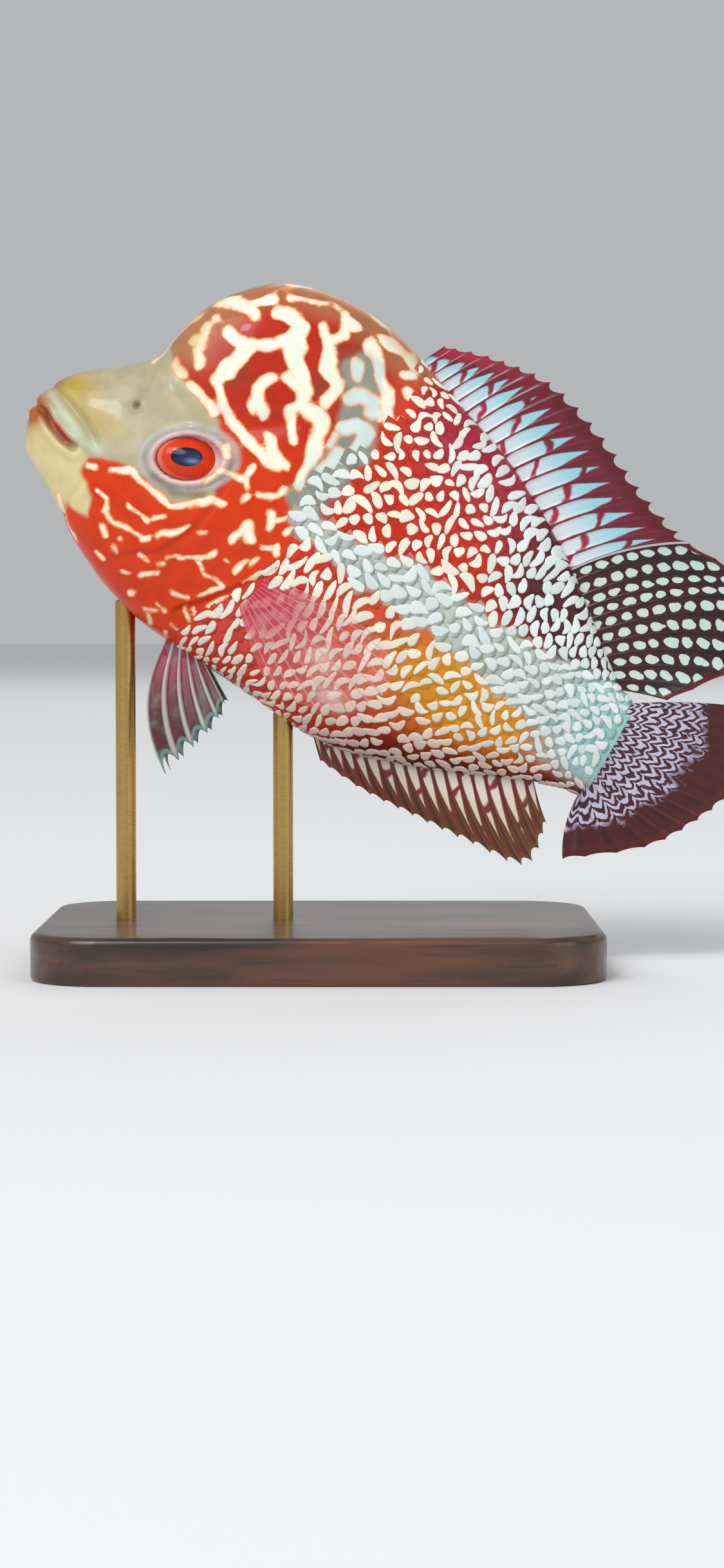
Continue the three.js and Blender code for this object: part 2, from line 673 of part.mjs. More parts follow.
addMesh(root, "stand_base", baseSolid(), WOOD_DARK, 0.35);

const placedBody = bodyTool.transform(fish.matrix.toArray());
["front", "rear"].forEach((word, i) => {
  const geometry = new THREE.CylinderGeometry(ROD_RADIUS, ROD_RADIUS, 1, 20);
  geometry.rotateX(Math.PI / 2);
  geometry.translate(0, 0, 0.5);
  geometry.scale(1, 1, FISH_Z - BASE.high);
  geometry.translate(ROD_X[i], 0, BASE.high + GAP);
  const parts = solidOf(geometry).subtract(placedBody).decompose();
  const lowest = parts.reduce((a, b) => (b.boundingBox().min[2] < a.boundingBox().min[2] ? b : a));
  addMesh(root, `stand_rod_${word}`, lowest, ROD_METAL, 0.3, 0.9);
});

export default root;
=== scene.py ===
"""Dresses a still, life-size model of a flowerhorn cichlid on a display stand.

The fish is worked out in its own frame, in millimetres: x runs back from the mouth, z up through the
back and y across, with the left side at negative y. A Pose turns that frame into metres on the stand.
"""

import logging
import math
from dataclasses import dataclass, field
from enum import Enum
from typing import Any, Protocol, Sequence

import bpy
import numpy as np
from mathutils import Matrix


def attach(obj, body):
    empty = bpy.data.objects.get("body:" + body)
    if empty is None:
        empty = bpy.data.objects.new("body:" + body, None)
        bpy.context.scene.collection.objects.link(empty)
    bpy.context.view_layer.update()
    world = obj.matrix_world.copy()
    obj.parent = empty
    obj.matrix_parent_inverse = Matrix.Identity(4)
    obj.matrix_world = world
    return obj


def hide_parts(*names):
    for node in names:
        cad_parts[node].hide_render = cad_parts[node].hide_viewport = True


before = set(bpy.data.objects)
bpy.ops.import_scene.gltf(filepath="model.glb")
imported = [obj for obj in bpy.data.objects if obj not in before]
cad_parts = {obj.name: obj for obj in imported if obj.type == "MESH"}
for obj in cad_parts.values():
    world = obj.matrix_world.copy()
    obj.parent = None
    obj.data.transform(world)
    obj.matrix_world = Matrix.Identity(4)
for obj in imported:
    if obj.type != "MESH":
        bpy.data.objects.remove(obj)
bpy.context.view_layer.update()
LOG = logging.getLogger("flowerhorn")
MM = 0.001
PHOTO_TALL = 2436
SIDES = ((-1.0, "left"), (1.0, "right"))
Array = np.ndarray
Pair = tuple[float, float]
Line = Sequence[Pair]
Rgb = tuple[int, int, int]
Rows = tuple[tuple[float, ...], ...]


# Curves, distances and noise

def smooth(low: float, high: float, value: Array) -> Array:
    """Returns 0 to 1 from low to high, or downwards: three squares less two cubes of the share of the way."""
    share = np.clip((value - low) / (high - low), 0.0, 1.0)
    return share * share * (3.0 - 2.0 * share)


def mix(a: Any, b: Any, share: Any) -> Any:
    """Returns the value that lies the given share of the way from a to b."""
    return a + (b - a) * share


def bell(distance: Array, width: float) -> Array:
    """Returns a bell curve over the width: e to the power of minus the square of distance over width."""
    return np.exp(-((distance / width) ** 2))


def mound(x: Array, z: Array, centre: Pair, radii: Pair) -> Array:
    """Returns an oval bell curve about a centre: the product of one over x and one over z."""
    return bell(x - centre[0], radii[0]) * bell(z - centre[1], radii[1])


def spline(rows: Array, place: Array) -> Array:
    """Reads a table of rows at fractional places, on a Catmull-Rom spline.

    Args:
        rows: Table, one row for each key.
        place: Fractional row numbers, one-dimensional.

    Returns:
        One row for each place.
    """
    last = len(rows) - 1
    i = np.clip(np.floor(place).astype(int), 0, last - 1)
    t = (place - i)[:, None]
    a, b, c, d = (rows[np.clip(i + n, 0, last)] for n in (-1, 0, 1, 2))
    slope = c - a + t * (2 * a - 5 * b + 4 * c - d + t * (3 * (b - c) + d - a))
    return b + 0.5 * t * slope


def distance_to(line: Line, x: Array, z: Array) -> Array:
    """Measures how far each point lies from a polyline: the least distance to any of its straight runs.

    Args:
        line: Corners in x and z.
        x: Places along the fish.
        z: Heights.

    Returns:
        Distances.
    """
    best = np.full(np.shape(x), np.inf)
    for (ax, az), (bx, bz) in zip(line[:-1], line[1:]):
        dx, dz = bx - ax, bz - az
        t = np.clip(((x - ax) * dx + (z - az) * dz) / max(dx * dx + dz * dz, 1e-9), 0.0, 1.0)
        best = np.minimum(best, np.hypot(x - ax - t * dx, z - az - t * dz))
    return best


def signed_distance(outline: Line, x: Array, z: Array) -> Array:
    """Measures how far each point lies from a closed outline, inside or out by the even-odd rule.

    Args:
        outline: Corners in x and z.
        x: Places along the fish.
        z: Heights.

    Returns:
        Distances, negative inside.
    """
    inside = np.zeros(np.shape(x), bool)
    closed = [*outline, outline[0]]
    for (ax, az), (bx, bz) in zip(closed[:-1], closed[1:]):
        if az != bz:
            inside ^= ((az > z) != (bz > z)) & (x < (bx - ax) * (z - az) / (bz - az) + ax)
    away = distance_to(closed, x, z)
    return np.where(inside, -away, away)


def value_noise(x: Array, z: Array, cell: float, seed: int) -> Array:
    """Works out smooth noise: random lattice values blended on S-curves between cells.

    Args:
        x: Places along the fish.
        z: Heights.
        cell: Size of a cell.
        seed: Picks the lattice.

    Returns:
        Noise from -1 to 1.
    """
    size = 64
    table = np.random.default_rng(seed).uniform(-1.0, 1.0, (size, size))
    u, v = x / cell + 7.3, z / cell + 3.1
    i, j = np.floor(u).astype(int), np.floor(v).astype(int)
    s, t = smooth(0.0, 1.0, u - i), smooth(0.0, 1.0, v - j)
    low, high = (mix(table[i % size, n % size], table[(i + 1) % size, n % size], s) for n in (j, j + 1))
    return mix(low, high, t)


def worm_field(points: Array, wave: float, seed: int) -> Array:
    """Works out a field with worm-like crests: a sum of plane waves of one length in random directions.

    Args:
        points: Places in the fish's frame.
        wave: Length of a wave.
        seed: Picks the directions.

    Returns:
        The field, about -2 to 2.
    """
    waves = 14
    rng = np.random.default_rng(seed)
    ways = rng.normal(size=(waves, 3))
    ways *= (2.0 * math.pi / wave) / np.linalg.norm(ways, axis=1, keepdims=True)
    phases = rng.uniform(0.0, 2.0 * math.pi, waves)
    return np.cos(points @ ways.T + phases).sum(axis=-1) / math.sqrt(waves / 2)


# Meshes

def grid_quads(rows: int, columns: int, first: int = 0, flip: bool = False) -> Array:
    """Lists the quads of a grid whose points are numbered along its columns first.

    Args:
        rows: Rows of points.
        columns: Points in a row.
        first: Number of the first point.
        flip: Whether the quads are turned over.

    Returns:
        Four point numbers for each quad.
    """
    i, j = np.indices((rows - 1, columns - 1)).reshape(2, -1)
    a = first + i * columns + j
    quads = np.stack([a, a + 1, a + columns + 1, a + columns], axis=1)
    return quads[:, ::-1] if flip else quads


def ring_quads(rings: int, around: int) -> Array:
    """Lists the quads between closed rings of points.

    Args:
        rings: Number of rings.
        around: Points in a ring.

    Returns:
        Four point numbers for each quad.
    """
    i, j = np.indices((rings - 1, around)).reshape(2, -1)
    near, far = i * around + j, i * around + (j + 1) % around
    return np.stack([near, near + around, far + around, far], axis=1)


def capped_tube(rings: int, around: int, flip: bool = False) -> list[list[int]]:
    """Lists the faces of closed rings joined to a tube, with a flat cap at each end.

    Args:
        rings: Number of rings.
        around: Points in a ring.
        flip: Whether the faces are turned over.

    Returns:
        Point numbers of each face.
    """
    quads = ring_quads(rings, around)[:, [0, 3, 2, 1]].tolist()
    faces = [*quads, list(range(around))[::-1], list(range((rings - 1) * around, rings * around))]
    return [face[::-1] for face in faces] if flip else faces


def closed_sheet(front: Array, back: Array) -> Array:
    """Lists the quads of a thin closed sheet: its two faces, and strips along the four edges.

    Args:
        front: Grid of points, numbered first.
        back: Grid of the same size, numbered next.

    Returns:
        Quads, turned over if the front would face the back.
    """
    rows, columns = front.shape[:2]
    facing = np.cross(np.diff(front[:-1], axis=1), np.diff(front[:, :-1], axis=0))
    outward = np.sum(facing * (front - back)[:-1, :-1]) > 0
    total = rows * columns
    number = np.arange(total).reshape(rows, columns)
    rim = np.concatenate([number[0, :-1], number[:-1, -1], number[-1, :0:-1], number[:0:-1, 0]])
    ahead = np.roll(rim, -1)
    strip = np.stack([rim, rim + total, ahead + total, ahead], axis=1)
    faces = np.concatenate([grid_quads(rows, columns), grid_quads(rows, columns, total, flip=True), strip])
    return faces if outward else faces[:, ::-1]


@dataclass
class Surface:
    """A mesh in the making: points in metres, faces, what each point stores, and the unwrap.

    An array with three numbers for each point is stored as a colour, and one with one as a number. The
    unwrap is given for each point or for each corner.
    """

    points: Array
    faces: Any
    stored: dict[str, Array] = field(default_factory=dict)
    unwrap: Array | None = None

    def build(self, name: str, finish: "Finish", nodes: Sequence[str], slot: str) -> bpy.types.Object:
        """Makes the object, gives it its finish, hides the solids it stands for and hangs it under the root
        body.

        Args:
            name: Name of the piece.
            finish: What its surface is made of.
            nodes: Solids that the piece stands for, if any.
            slot: The record's material slot; not used.

        Returns:
            The new object.
        """
        mesh = bpy.data.meshes.new(name)
        faces = self.faces.tolist() if isinstance(self.faces, Array) else self.faces
        mesh.from_pydata(self.points.tolist(), [], faces)
        for key, values in self.stored.items():
            flat = values.reshape(len(self.points), -1)
            kind, entry = "FLOAT", "value"
            if flat.shape[1] == 3:
                kind, entry = "FLOAT_COLOR", "color"
                flat = np.insert(flat, 3, 1.0, axis=1)
            mesh.attributes.new(key, kind, "POINT").data.foreach_set(entry, flat.astype(np.float32).ravel())
        if self.unwrap is not None:
            unwrap = self.unwrap
            if len(unwrap) == len(self.points):
                corners = np.empty(len(mesh.loops), np.int32)
                mesh.loops.foreach_get("vertex_index", corners)
                unwrap = unwrap[corners]
            mesh.uv_layers.new(name="OFBake").data.foreach_set("uv", unwrap.astype(np.float32).ravel())
        mesh.polygons.foreach_set("use_smooth", np.ones(len(mesh.polygons), bool))
        mesh.materials.append(finish.material())
        piece = bpy.data.objects.new(name, mesh)
        bpy.context.scene.collection.objects.link(piece)
        if nodes:
            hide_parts(*nodes)
        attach(piece, "root")
        LOG.info("%s: %d points, %d faces", name, len(mesh.vertices), len(mesh.polygons))
        return piece


def linear(colour: Rgb) -> Array:
    """Returns a display colour of 0 to 255 as linear light, by the sRGB curve."""
    c = np.array(colour, float) / 255.0
    return np.where(c <= 0.04045, c / 12.92, ((c + 0.055) / 1.055) ** 2.4)


# Finishes

class Value:
    """A number socket that adds Math nodes as Python works on it."""

    def __init__(self, shader: "Shader", socket: Any) -> None:
        """Keeps the shader and the socket."""
        self.shader = shader
        self.socket = socket

    def __add__(self, other: Any) -> "Value":
        """Adds."""
        return self.shader.math("ADD", self, other)

    def __sub__(self, other: Any) -> "Value":
        """Subtracts."""
        return self.shader.math("SUBTRACT", self, other)

    def __rsub__(self, other: Any) -> "Value":
        """Subtracts this from the other."""
        return self.shader.math("SUBTRACT", other, self)

    def __mul__(self, other: Any) -> "Value":
        """Multiplies."""
        return self.shader.math("MULTIPLY", self, other)

    def __truediv__(self, other: Any) -> "Value":
        """Divides."""
        return self.shader.math("DIVIDE", self, other)

    __radd__ = __add__
    __rmul__ = __mul__

    def step(self, low: float, high: float) -> "Value":
        """Lays an S-curve over this number.

        Args:
            low: Where the curve is 0.
            high: Where it is 1, which may be lower than low.

        Returns:
            0 to 1.
        """
        if low > high:
            return 1.0 - self.step(high, low)
        values = {"Value": self, "From Min": low, "From Max": high}
        settings = {"interpolation_type": "SMOOTHSTEP"}
        return Value(self.shader, self.shader.node("ShaderNodeMapRange", settings, values).outputs["Result"])


class Shader:
    """A node tree round one Principled shader."""

    def __init__(self, name: str) -> None:
        """Starts a material with an empty tree, a Principled shader and an output.

        Args:
            name: Name of the material.
        """
        self.material = bpy.data.materials.new(name)
        self.material.use_nodes = True
        self.tree = self.material.node_tree
        self.tree.nodes.clear()
        self.surface = self.tree.nodes.new("ShaderNodeBsdfPrincipled")
        output = self.tree.nodes.new("ShaderNodeOutputMaterial")
        self.tree.links.new(self.surface.outputs["BSDF"], output.inputs["Surface"])

    def put(self, socket: Any, value: Any) -> None:
        """Links a socket to a value, or sets it.

        Args:
            socket: Input of a node.
            value: A Value, an output, a colour, a vector or a number.
        """
        if isinstance(value, Value):
            value = value.socket
        if isinstance(value, bpy.types.NodeSocket):
            self.tree.links.new(value, socket)
        elif isinstance(value, (tuple, Array)) and len(value) == 3 and socket.type == "RGBA":
            socket.default_value = (*[float(v) for v in value], 1.0)
        else:
            socket.default_value = value

    def node(self, kind: str, settings: dict[str, Any], values: dict[Any, Any]) -> bpy.types.Node:
        """Adds a node.

        Args:
            kind: The node's type.
            settings: Properties, set first.
            values: Values or links of its sockets, by name or number.

        Returns:
            The node.
        """
        made = self.tree.nodes.new(kind)
        for key, setting in settings.items():
            setattr(made, key, setting)
        for key, value in values.items():
            self.put(made.inputs[key], value)
        return made

    def math(self, operation: str, *values: Any) -> Value:
        """Adds a Math node on numbers or values."""
        made = self.node("ShaderNodeMath", {"operation": operation}, dict(enumerate(values)))
        return Value(self, made.outputs[0])

    def number(self, name: str) -> Value:
        """Reads a number stored on the mesh."""
        return Value(self, self.node("ShaderNodeAttribute", {"attribute_name": name}, {}).outputs["Fac"])

    def colour(self, name: str) -> Any:
        """Reads a colour stored on the mesh."""
        return self.node("ShaderNodeAttribute", {"attribute_name": name}, {}).outputs["Color"]

    def noise(self, scale: float, detail: float, stretch: tuple[float, float, float] = (1, 1, 1)) -> Value:
        """Adds noise in Object coordinates.

        Args:
            scale: Waves for each metre.
            detail: How many finer layers it has.
            stretch: Scale along each axis.

        Returns:
            Noise of 0 to 1.
        """
        place = self.node("ShaderNodeTexCoord", {}, {}).outputs["Object"]
        turned = self.node("ShaderNodeMapping", {}, {"Vector": place, "Scale": stretch})
        values = {"Vector": turned.outputs[0], "Scale": scale, "Detail": detail}
        return Value(self, self.node("ShaderNodeTexNoise", {}, values).outputs["Fac"])

    def blend(self, share: Any, a: Any, b: Any) -> Any:
        """Returns the colour that lies the given share of the way from a to b."""
        return self.node("ShaderNodeMix", {"data_type": "RGBA"}, {0: share, 6: a, 7: b}).outputs[2]

    def bump(self, height: Value, depth: float, strength: float) -> Any:
        """Returns a normal roughened by a height of 0 to 1 over a depth in metres."""
        values = {"Height": height, "Distance": depth, "Strength": strength}
        return self.node("ShaderNodeBump", {}, values).outputs["Normal"]

    def dress(self, **sockets: Any) -> bpy.types.Material:
        """Sets the Principled shader's sockets.

        Args:
            **sockets: Values by name, with underscores for spaces.

        Returns:
            The material.
        """
        for key, value in sockets.items():
            self.put(self.surface.inputs[key.replace("_", " ")], value)
        return self.material


class Finish:
    """What a surface is made of. Its material is made once, and all its colours are display colours."""

    name: str
    _made: dict[str, bpy.types.Material] = {}

    def material(self) -> bpy.types.Material:
        """Makes the finish's material on first use.

        Returns:
            The material.
        """
        if self.name not in Finish._made:
            Finish._made[self.name] = self.paint(Shader(self.name))
        return Finish._made[self.name]

    def paint(self, shader: Shader) -> bpy.types.Material:
        """Builds the nodes."""
        raise NotImplementedError


@dataclass(frozen=True)
class WetSkin(Finish):
    """Smooth wet skin: washes of ground colour with cream strokes edged in peach."""

    name: str = "wet_skin"
    edge: Rgb = (238, 150, 84)
    cool: Rgb = (222, 236, 230)

    def paint(self, shader: Shader) -> bpy.types.Material:
        """Builds the nodes: stored ground colour, mottled, under strokes cut from a stored distance.

        Args:
            shader: Where the nodes go.

        Returns:
            The material.
        """
        stroke = (shader.number("stroke") + (shader.noise(900, 2) - 0.5) * 0.5
                  + (shader.noise(380, 1) - 0.5) * 0.6)
        mottle = shader.noise(420, 4)
        ground = shader.blend(mottle.step(0.35, 0.75) * 0.3, shader.colour("ground"), shader.colour("shade"))
        edged = shader.blend(stroke.step(0.24, 0.05) * 0.6, ground, linear(self.edge))
        rim = shader.blend(0.35, shader.colour("ink"), linear(self.edge))
        ink = shader.blend(stroke.step(-0.05, -0.5), rim, shader.colour("ink"))
        ink = shader.blend(
            shader.noise(300, 2).step(0.4, 0.7) * stroke.step(-0.2, -0.7) * 0.7, ink, linear(self.cool))
        inked = shader.blend(stroke.step(0.1, -0.16), edged, ink)
        grain = shader.noise(2600, 3)
        normal = shader.bump(grain * 0.5 + stroke.step(0.1, -0.3) * 0.8, 0.00006, 0.7)
        rough = 0.3 + shader.noise(700, 2) * 0.16
        return shader.dress(Base_Color=inked, Roughness=rough, Normal=normal, Coat_Weight=0.2,
                            Coat_Roughness=0.08, Specular_IOR_Level=0.18)


@dataclass(frozen=True)
class ScalePaint(Finish):
    """Scales and pearls: the colour stored on each, a darker rim and fine growth rings. On the plates the
    darker rim is painted shade between the scales.
    """

    name: str = "scale_paint"
    rim: float = 0.55
    rough: float = 0.32

    def paint(self, shader: Shader) -> bpy.types.Material:
        """Builds the nodes: stored colour, shaded towards the rim, with a fine grain.

        Args:
            shader: Where the nodes go.

        Returns:
            The material.
        """
        rim = shader.number("rim")
        # On the plates this blend is painted shade, darker towards each rim between the scales; on the pearls
        # the rim fades into the ground colour.
        colour = shader.blend(rim.step(0.55, 1.0) * self.rim, shader.colour("ground"), shader.colour("shade"))
        rings = shader.noise(1500, 3)
        return shader.dress(Base_Color=colour, Roughness=self.rough + rings * 0.12, Coat_Weight=0.2,
                            Coat_Roughness=0.1, Specular_IOR_Level=0.18,
                            Normal=shader.bump(rings, 0.00003, 0.5))


class Marks(Enum):
    """The kinds of pale mark that a fin has between its rays."""

    STREAKS = "streaks"
    SPOTS = "spots"
    CHEVRONS = "chevrons"
    NONE = "none"


@dataclass(frozen=True)
class FinPaint(Finish):
    """Fin membrane between rays, with pale marks in each gap and a coloured margin.

    Widths and steps of marks are in millimetres along a ray and in shares of a gap across it. Starts
    and ends are shares of a ray's length, and cover is how solid the membrane is.
    """

    name: str
    root: Rgb
    outer: Rgb
    margin: Rgb
    margin_front: Rgb
    mark: Rgb
    mark_outer: Rgb
    ray: Rgb
    marks: Marks
    margin_width: float
    mark_step: float = 2.0
    mark_wide: float = 0.47
    mark_start: float = 0.4
    mark_end: float = 0.92
    cover: float = 1.0

    def paint(self, shader: Shader) -> bpy.types.Material:
        """Builds the nodes from stored ray number, distance along the ray and distance to the margin.

        Args:
            shader: Where the nodes go.

        Returns:
            The material.
        """
        ray, along, edge = shader.number("ray"), shader.number("along"), shader.number("edge")
        margin = shader.blend(ray.step(1.0, 9.0), linear(self.margin_front), linear(self.margin))
        share = shader.number("share")
        gap = shader.math("FRACT", ray)
        off = shader.math("ABSOLUTE", gap - 0.5)
        noise = shader.noise(500, 3)
        ground = shader.blend(share.step(0.0, 0.75), linear(self.root), linear(self.outer))
        ground = shader.blend(noise.step(0.45, 0.8) * 0.45, ground, margin)
        ground = shader.blend(off.step(0.3, 0.46) * 0.6, ground, linear(self.ray))
        mask = self.mark_mask(shader, shader.math("FLOOR", ray), gap, off, along, share)
        mask = mask * edge.step(self.margin_width * 0.7, self.margin_width)
        pale = shader.blend(share.step(0.1, 0.7), linear(self.mark), linear(self.mark_outer))
        ground = shader.blend(mask, ground, pale)
        ground = shader.blend(edge.step(self.margin_width, self.margin_width * 0.5) * 0.85, ground, margin)
        alpha = 1.0 if self.cover >= 1.0 else shader.math(
            "MAXIMUM", off.step(0.38, 0.47) * 0.3 + share.step(0.5, 0.05) * 0.55 + self.cover, mask)
        return shader.dress(Base_Color=ground, Roughness=0.34 + noise * 0.15, Alpha=alpha, Coat_Weight=0.3,
                            Coat_Roughness=0.15, Specular_IOR_Level=0.3,
                            Normal=shader.bump(shader.noise(1800, 2), 0.00004, 0.5))

    def mark_mask(self, shader: Shader, which: Value, gap: Value, off: Value, along: Value,
                  share: Value) -> Value:
        """Works out where the pale marks are, from their kind.

        Streaks fill most of a gap, narrow to a point and have slanted breaks. Spots are ovals and
        chevrons are V-shaped stripes, both repeated along each gap. Noise stirs all of them.

        Args:
            shader: Where the nodes go.
            which: Number of the gap.
            gap: Share of the way across the gap.
            off: Distance from the gap's middle, in gaps.
            along: Millimetres from the root.
            share: Share of the ray's length.

        Returns:
            The mask, 0 to 1.
        """
        stir = shader.noise(380, 2) - 0.5
        ragged = shader.noise(1000, 1) - 0.5
        if self.marks is Marks.NONE:
            return off * 0.0
        if self.marks is Marks.STREAKS:
            width = self.mark_wide - share.step(self.mark_start, self.mark_end) * (self.mark_wide - 0.02)
            cut = shader.math("SINE", (along + gap * 1.5) * 0.8 + which * 2.4 + stir * 2.0)
            width = width * (0.3 + share.step(0.02, 0.16) * 0.7)
            return (width - off + stir * 0.12).step(0.0, 0.09) * cut.step(-0.99, -0.86)
        if self.marks is Marks.CHEVRONS:
            bent = along + off * 1.7 + stir * 3.2 + ragged * 1.2
            beat = shader.math("FRACT", bent / self.mark_step + which * 0.31)
            stripe = shader.math("ABSOLUTE", beat - 0.5).step(0.29, 0.2) * (ragged + stir).step(-0.3, -0.2)
            return stripe * (share + stir * 0.4).step(self.mark_end, self.mark_end - 0.12)
        beat = shader.math("FRACT", along / self.mark_step + which * 0.45 + stir * 0.8)
        lengthwise = shader.math("ABSOLUTE", beat - 0.5) / 0.4
        across = off / 0.31
        reach = lengthwise * lengthwise + across * across + stir * 1.1 + ragged * 1.3
        return reach.step(1.02, 0.78) * (share + stir * 0.5).step(self.mark_end + 0.1, self.mark_end - 0.1)


@dataclass(frozen=True)
class EyePaint(Finish):
    """The eye: a dark blue pupil with a painted highlight, a red iris with fine spokes and a pale outer ring.
    """

    name: str = "eye_paint"
    pupil: Rgb = (10, 14, 40)
    # Colour of the painted highlight: a light blue reflection painted into the pupil.
    pupil_painted_highlight: Rgb = (116, 146, 206)
    iris: Rgb = (232, 62, 8)
    iris_dark: Rgb = (190, 34, 6)
    ring: Rgb = (232, 120, 90)
    spokes: float = 46.0

    def paint(self, shader: Shader) -> bpy.types.Material:
        """Builds the nodes from the stored share of the way from the pupil's middle to the eye's rim.

        Args:
            shader: Where the nodes go.

        Returns:
            The material.
        """
        disc, turn = shader.number("disc"), shader.number("turn")
        pupil_disc = shader.number("pupil")
        spokes = shader.math("SINE", turn * self.spokes) * 0.5 + 0.5
        iris = shader.blend(
            spokes * 0.35 + shader.noise(900, 2) * 0.3, linear(self.iris), linear(self.iris_dark))
        iris = shader.blend(disc.step(0.86, 1.0), iris, linear(self.ring))
        # Painted highlight: the pupil lightens towards a painted light blue reflection.
        pupil = shader.blend(shader.number("painted_highlight"), linear(self.pupil), linear(self.pupil_painted_highlight))
        colour = shader.blend(pupil_disc.step(1.06, 0.98), iris, pupil)
        return shader.dress(
            Base_Color=colour, Roughness=0.2, Specular_IOR_Level=0.15, Coat_Weight=0.35, Coat_Roughness=0.03)


@dataclass(frozen=True)
class StainedWood(Finish):
    """Dark stained wood with grain along the base and a varnish."""

    name: str = "stained_wood"
    dark: Rgb = (38, 22, 14)
    light: Rgb = (96, 58, 34)

    def paint(self, shader: Shader) -> bpy.types.Material:
        """Builds the nodes: stretched noise for grain and pores.

        Args:
            shader: Where the nodes go.

        Returns:
            The material.
        """
        grain = shader.noise(260, 6, (0.12, 1.0, 1.0))
        pores = shader.noise(1800, 2, (0.05, 1.0, 1.0))
        colour = shader.blend(grain.step(0.35, 0.68), linear(self.dark), linear(self.light))
        colour = shader.blend(pores.step(0.58, 0.72) * 0.6, colour, linear(self.dark))
        return shader.dress(Base_Color=colour, Roughness=0.3 + pores * 0.15, Coat_Weight=0.4,
                            Coat_Roughness=0.12, Normal=shader.bump(grain * 0.4 + pores, 0.00008, 0.5))


@dataclass(frozen=True)
class BrushedBrass(Finish):
    """Brushed brass, with scratches that run round the rod."""

    name: str = "brushed_brass"
    metal: Rgb = (196, 160, 96)
    scratch: Rgb = (150, 116, 62)

    def paint(self, shader: Shader) -> bpy.types.Material:
        """Builds the nodes: noise squeezed along the rod.

        Args:
            shader: Where the nodes go.

        Returns:
            The material.
        """
        brush = shader.noise(900, 3, (1.0, 1.0, 14.0))
        colour = shader.blend(brush.step(0.3, 0.8) * 0.5, linear(self.metal), linear(self.scratch))
        return shader.dress(Base_Color=colour, Metallic=1.0, Roughness=0.22 + brush * 0.2)


@dataclass(frozen=True)
class PalePaper(Finish):
    """The floor's plain pale surface: matt, with a trace of unevenness."""

    name: str = "pale_paper"
    tone: Rgb = (236, 237, 238)
    darker: Rgb = (228, 229, 230)

    def paint(self, shader: Shader) -> bpy.types.Material:
        """Builds the nodes."""
        colour = shader.blend(shader.noise(6, 2) * 0.12, linear(self.tone), linear(self.darker))
        return shader.dress(Base_Color=colour, Roughness=1.0, Specular_IOR_Level=0.0)


# Form of the fish

@dataclass(frozen=True)
class Pose:
    """How the fish's frame stands on the stand: its pitch, and where the point at turn_x comes."""

    pitch: float = math.radians(29.5)
    turn_x: float = 45.0
    fish_x: float = -12.59
    fish_z: float = 48.5

    def place(self, points: Array) -> Array:
        """Turns points of the fish's frame, in millimetres, into metres on the stand.

        Args:
            points: Points, with x, y and z on the last axis.

        Returns:
            The placed points.
        """
        x, y, z = points[..., 0] - self.turn_x, points[..., 1], points[..., 2]
        along = self.fish_x + x * math.cos(self.pitch) + z * math.sin(self.pitch)
        high = self.fish_z - x * math.sin(self.pitch) + z * math.cos(self.pitch)
        return np.stack([along, y, high], axis=-1) * MM


POSE = Pose()
TAIL_END = 87.0

# Sections from mouth to tail: back x and z, belly x and z, half width, height of the widest place as a
# share, and the exponents of the upper and lower halves.
SECTIONS = np.array([
    [0.2, 1.4, 0.2, 1.4, 0, 0.5, 1, 1], [0.3, 3.4, 0.7, -0.8, 2.1, 0.5, 0.8, 0.8],
    [0.9, 5.5, 1.8, -3.1, 3.4, 0.48, 0.8, 0.8], [2.3, 7.9, 4, -4.7, 4.5, 0.45, 0.85, 0.8],
    [5, 10.5, 7, -6.4, 5.5, 0.42, 0.95, 0.8], [8.3, 12.9, 10, -8.3, 6.4, 0.42, 0.95, 0.8],
    [11, 15.8, 13, -10.4, 7.3, 0.42, 0.85, 0.8], [12.1, 19.6, 16, -12, 8.1, 0.42, 0.74, 0.8],
    [13.5, 24, 19, -13.4, 8.8, 0.42, 0.66, 0.8], [16.1, 27.9, 22.2, -14.5, 9.4, 0.42, 0.64, 0.8],
    [20.3, 31.6, 25.6, -15.4, 9.9, 0.42, 0.64, 0.82], [25.8, 33.5, 29.6, -15.9, 10.3, 0.42, 0.68, 0.85],
    [31.4, 34, 34.2, -16.1, 10.5, 0.42, 0.78, 0.9], [37.1, 33.2, 39.2, -16.4, 10.4, 0.43, 0.95, 0.95],
    [42.8, 31.4, 44.6, -16.9, 10, 0.44, 1.1, 1], [49.5, 29, 50.5, -17.5, 9.2, 0.45, 1.15, 1.05],
    [56.5, 26.5, 57, -17, 8.2, 0.45, 1.15, 1.1], [63.5, 23, 63.5, -15.2, 7, 0.46, 1.15, 1.1],
    [70, 18.9, 69.5, -13, 5.8, 0.47, 1.1, 1.1], [75.5, 14.7, 75, -10.6, 4.8, 0.48, 1.05, 1.05],
    [80, 11, 80, -8.6, 3.9, 0.49, 1, 1], [83.6, 8.4, 83.6, -7.5, 3.2, 0.5, 1, 1],
    [TAIL_END, 6.9, TAIL_END, -6.9, 2.6, 0.5, 1, 1],
])

